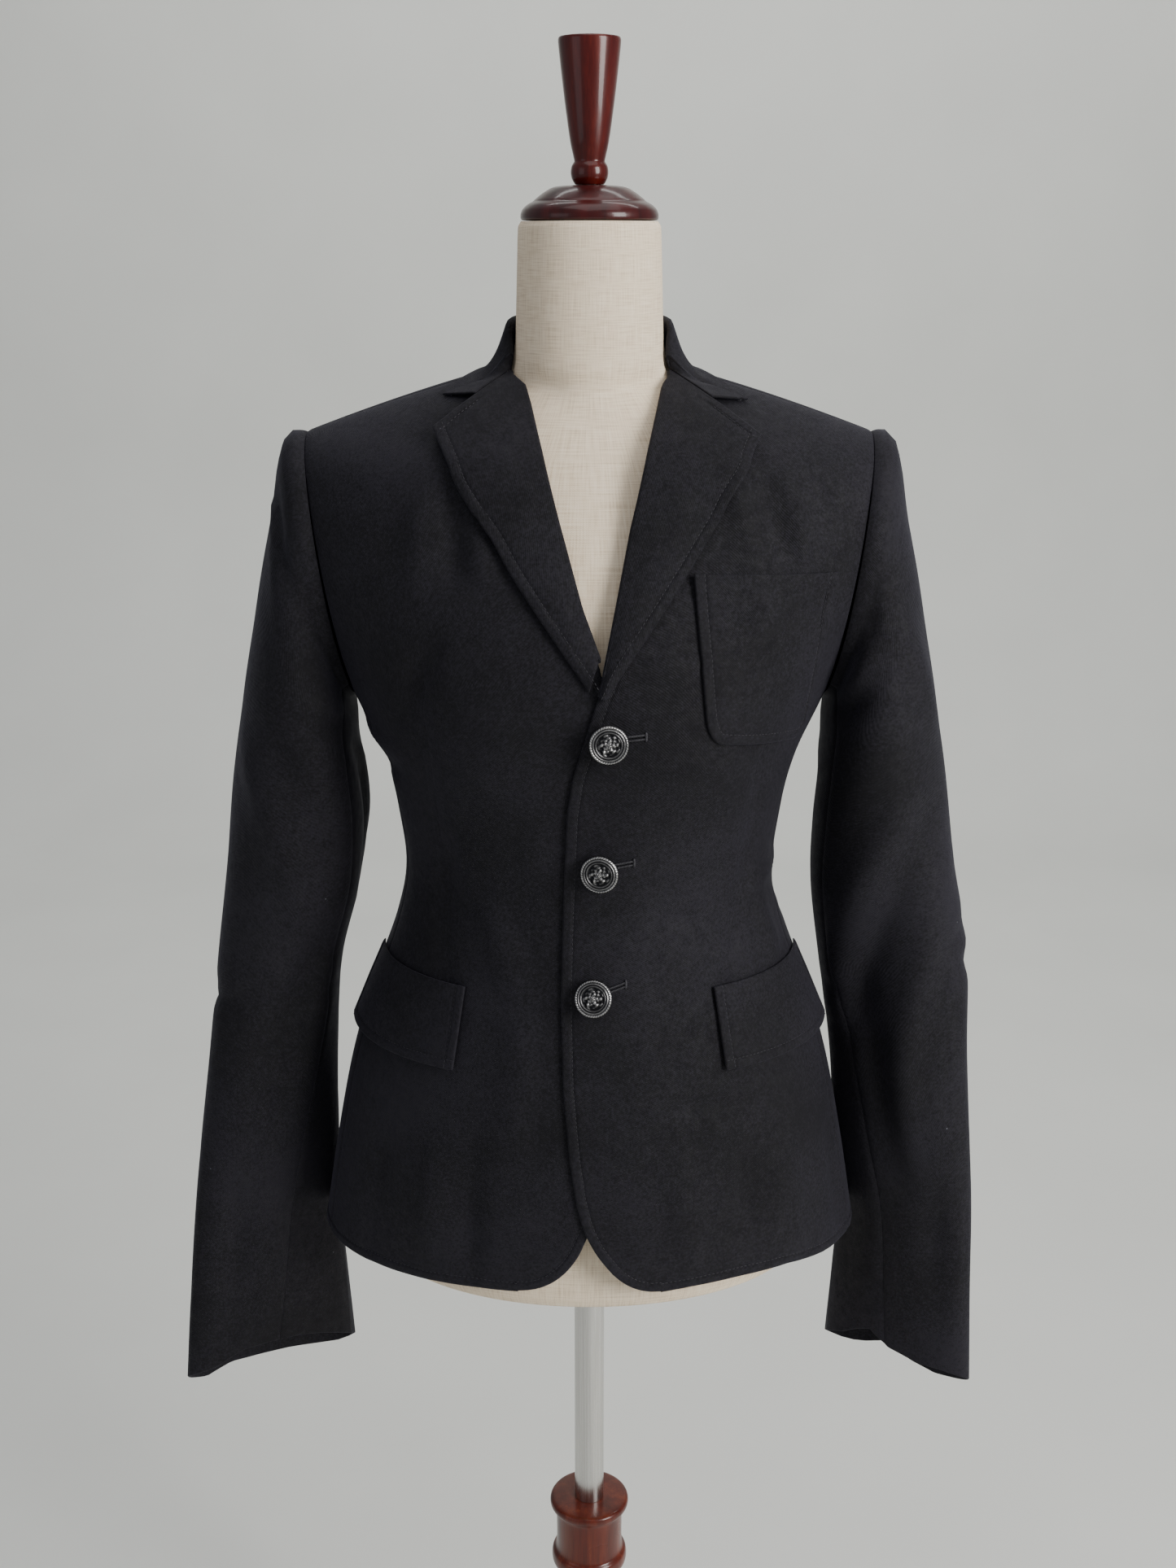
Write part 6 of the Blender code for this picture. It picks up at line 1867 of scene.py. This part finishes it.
# Floor, wall, light and camera
WALL_Y = 3.7
WALL_CURVE = 0.9
STAGE_HALF = 6.5
STAGE_FRONT = -4.5
WALL_TOP = 5.0
CURVE_POINTS = 17


def dress_stage():
    """A pale floor that turns up into a pale wall."""
    line = [(STAGE_FRONT, 0.0)]
    for turn in np.linspace(0.0, math.pi / 2, CURVE_POINTS):
        line.append((WALL_Y - WALL_CURVE + WALL_CURVE * math.sin(turn),
                     WALL_CURVE - WALL_CURVE * math.cos(turn)))
    line.append((WALL_Y, WALL_TOP))
    points = [(x, y, z) for y, z in line for x in (-STAGE_HALF, STAGE_HALF)]
    faces = [(2 * k, 2 * k + 1, 2 * k + 3, 2 * k + 2) for k in range(len(line) - 1)]
    mesh = bpy.data.meshes.new("floor")
    mesh.from_pydata(points, [], faces)
    mesh.materials.append(paint_material())
    mesh.shade_smooth()
    floor = bpy.data.objects.new("floor", mesh)
    bpy.context.scene.collection.objects.link(floor)


# Lamps: the one at the window and the two soft ones point at the blazer, the last at the wall
Lamp = namedtuple("Lamp", "name place target size power colour")
LAMPS = (
    Lamp("window", (1.75, -1.35, 1.75), (0.0, 0.0, 1.02), (0.9, 1.5), 66.0, (1.0, 0.985, 0.96)),
    Lamp("fill", (-1.9, -1.5, 1.5), (0.0, 0.0, 1.0), (1.4, 1.6), 5.0, (0.92, 0.95, 1.0)),
    Lamp("top", (0.2, -0.3, 2.9), (0.0, 0.1, 1.0), (1.6, 1.6), 12.0, (1.0, 0.98, 0.96)),
    Lamp("wall wash", (0.4, 1.5, 3.6), (0.5, WALL_Y, 1.0), (3.0, 1.0), 62.0, (1.0, 1.0, 0.97)),
)
ROOM_COLOUR = (0.90, 0.93, 1.0, 1.0)
ROOM_STRENGTH = 0.34


def area_light(lamp):
    """A soft rectangular light that points at its target."""
    light = bpy.data.lights.new(lamp.name, "AREA")
    light.shape = "RECTANGLE"
    light.size, light.size_y = lamp.size
    light.energy = lamp.power
    light.color = lamp.colour
    thing = bpy.data.objects.new(lamp.name, light)
    thing.location = lamp.place
    direction = np.array(lamp.target) - np.array(lamp.place)
    level = math.hypot(direction[0], direction[1])
    thing.rotation_euler = (math.atan2(level, -direction[2]), 0.0, math.atan2(-direction[0], direction[1]))
    bpy.context.scene.collection.objects.link(thing)


CAMERA_BACK = 1.19
CAMERA_ASIDE = -0.001
CAMERA_HEIGHT = 1.400
CAMERA_PITCH = 17.0
CAMERA_LENS = 40.54
CAMERA_SENSOR = 36.0


def light_and_camera():
    """A dim room, the lamps, and the photograph's camera."""
    world = bpy.data.worlds.new("Soft room")
    world.use_nodes = True
    fill(world.node_tree, world.node_tree.nodes["Background"], {"Color": ROOM_COLOUR,
                                                                "Strength": ROOM_STRENGTH})
    bpy.context.scene.world = world
    for lamp in LAMPS:
        area_light(lamp)
    camera = bpy.data.cameras.new("camera")
    camera.sensor_width = CAMERA_SENSOR
    camera.lens = CAMERA_LENS
    camera.clip_start = 0.01
    thing = bpy.data.objects.new("camera", camera)
    thing.location = (CAMERA_ASIDE + SHIFT[0], SHIFT[1] - CAMERA_BACK, CAMERA_HEIGHT)
    thing.rotation_euler = (math.radians(90.0 - CAMERA_PITCH), 0.0, 0.0)
    bpy.context.scene.collection.objects.link(thing)
    bpy.context.scene.camera = thing


light_and_camera()
dress_stage()
dress_stand()
dress_blazer()
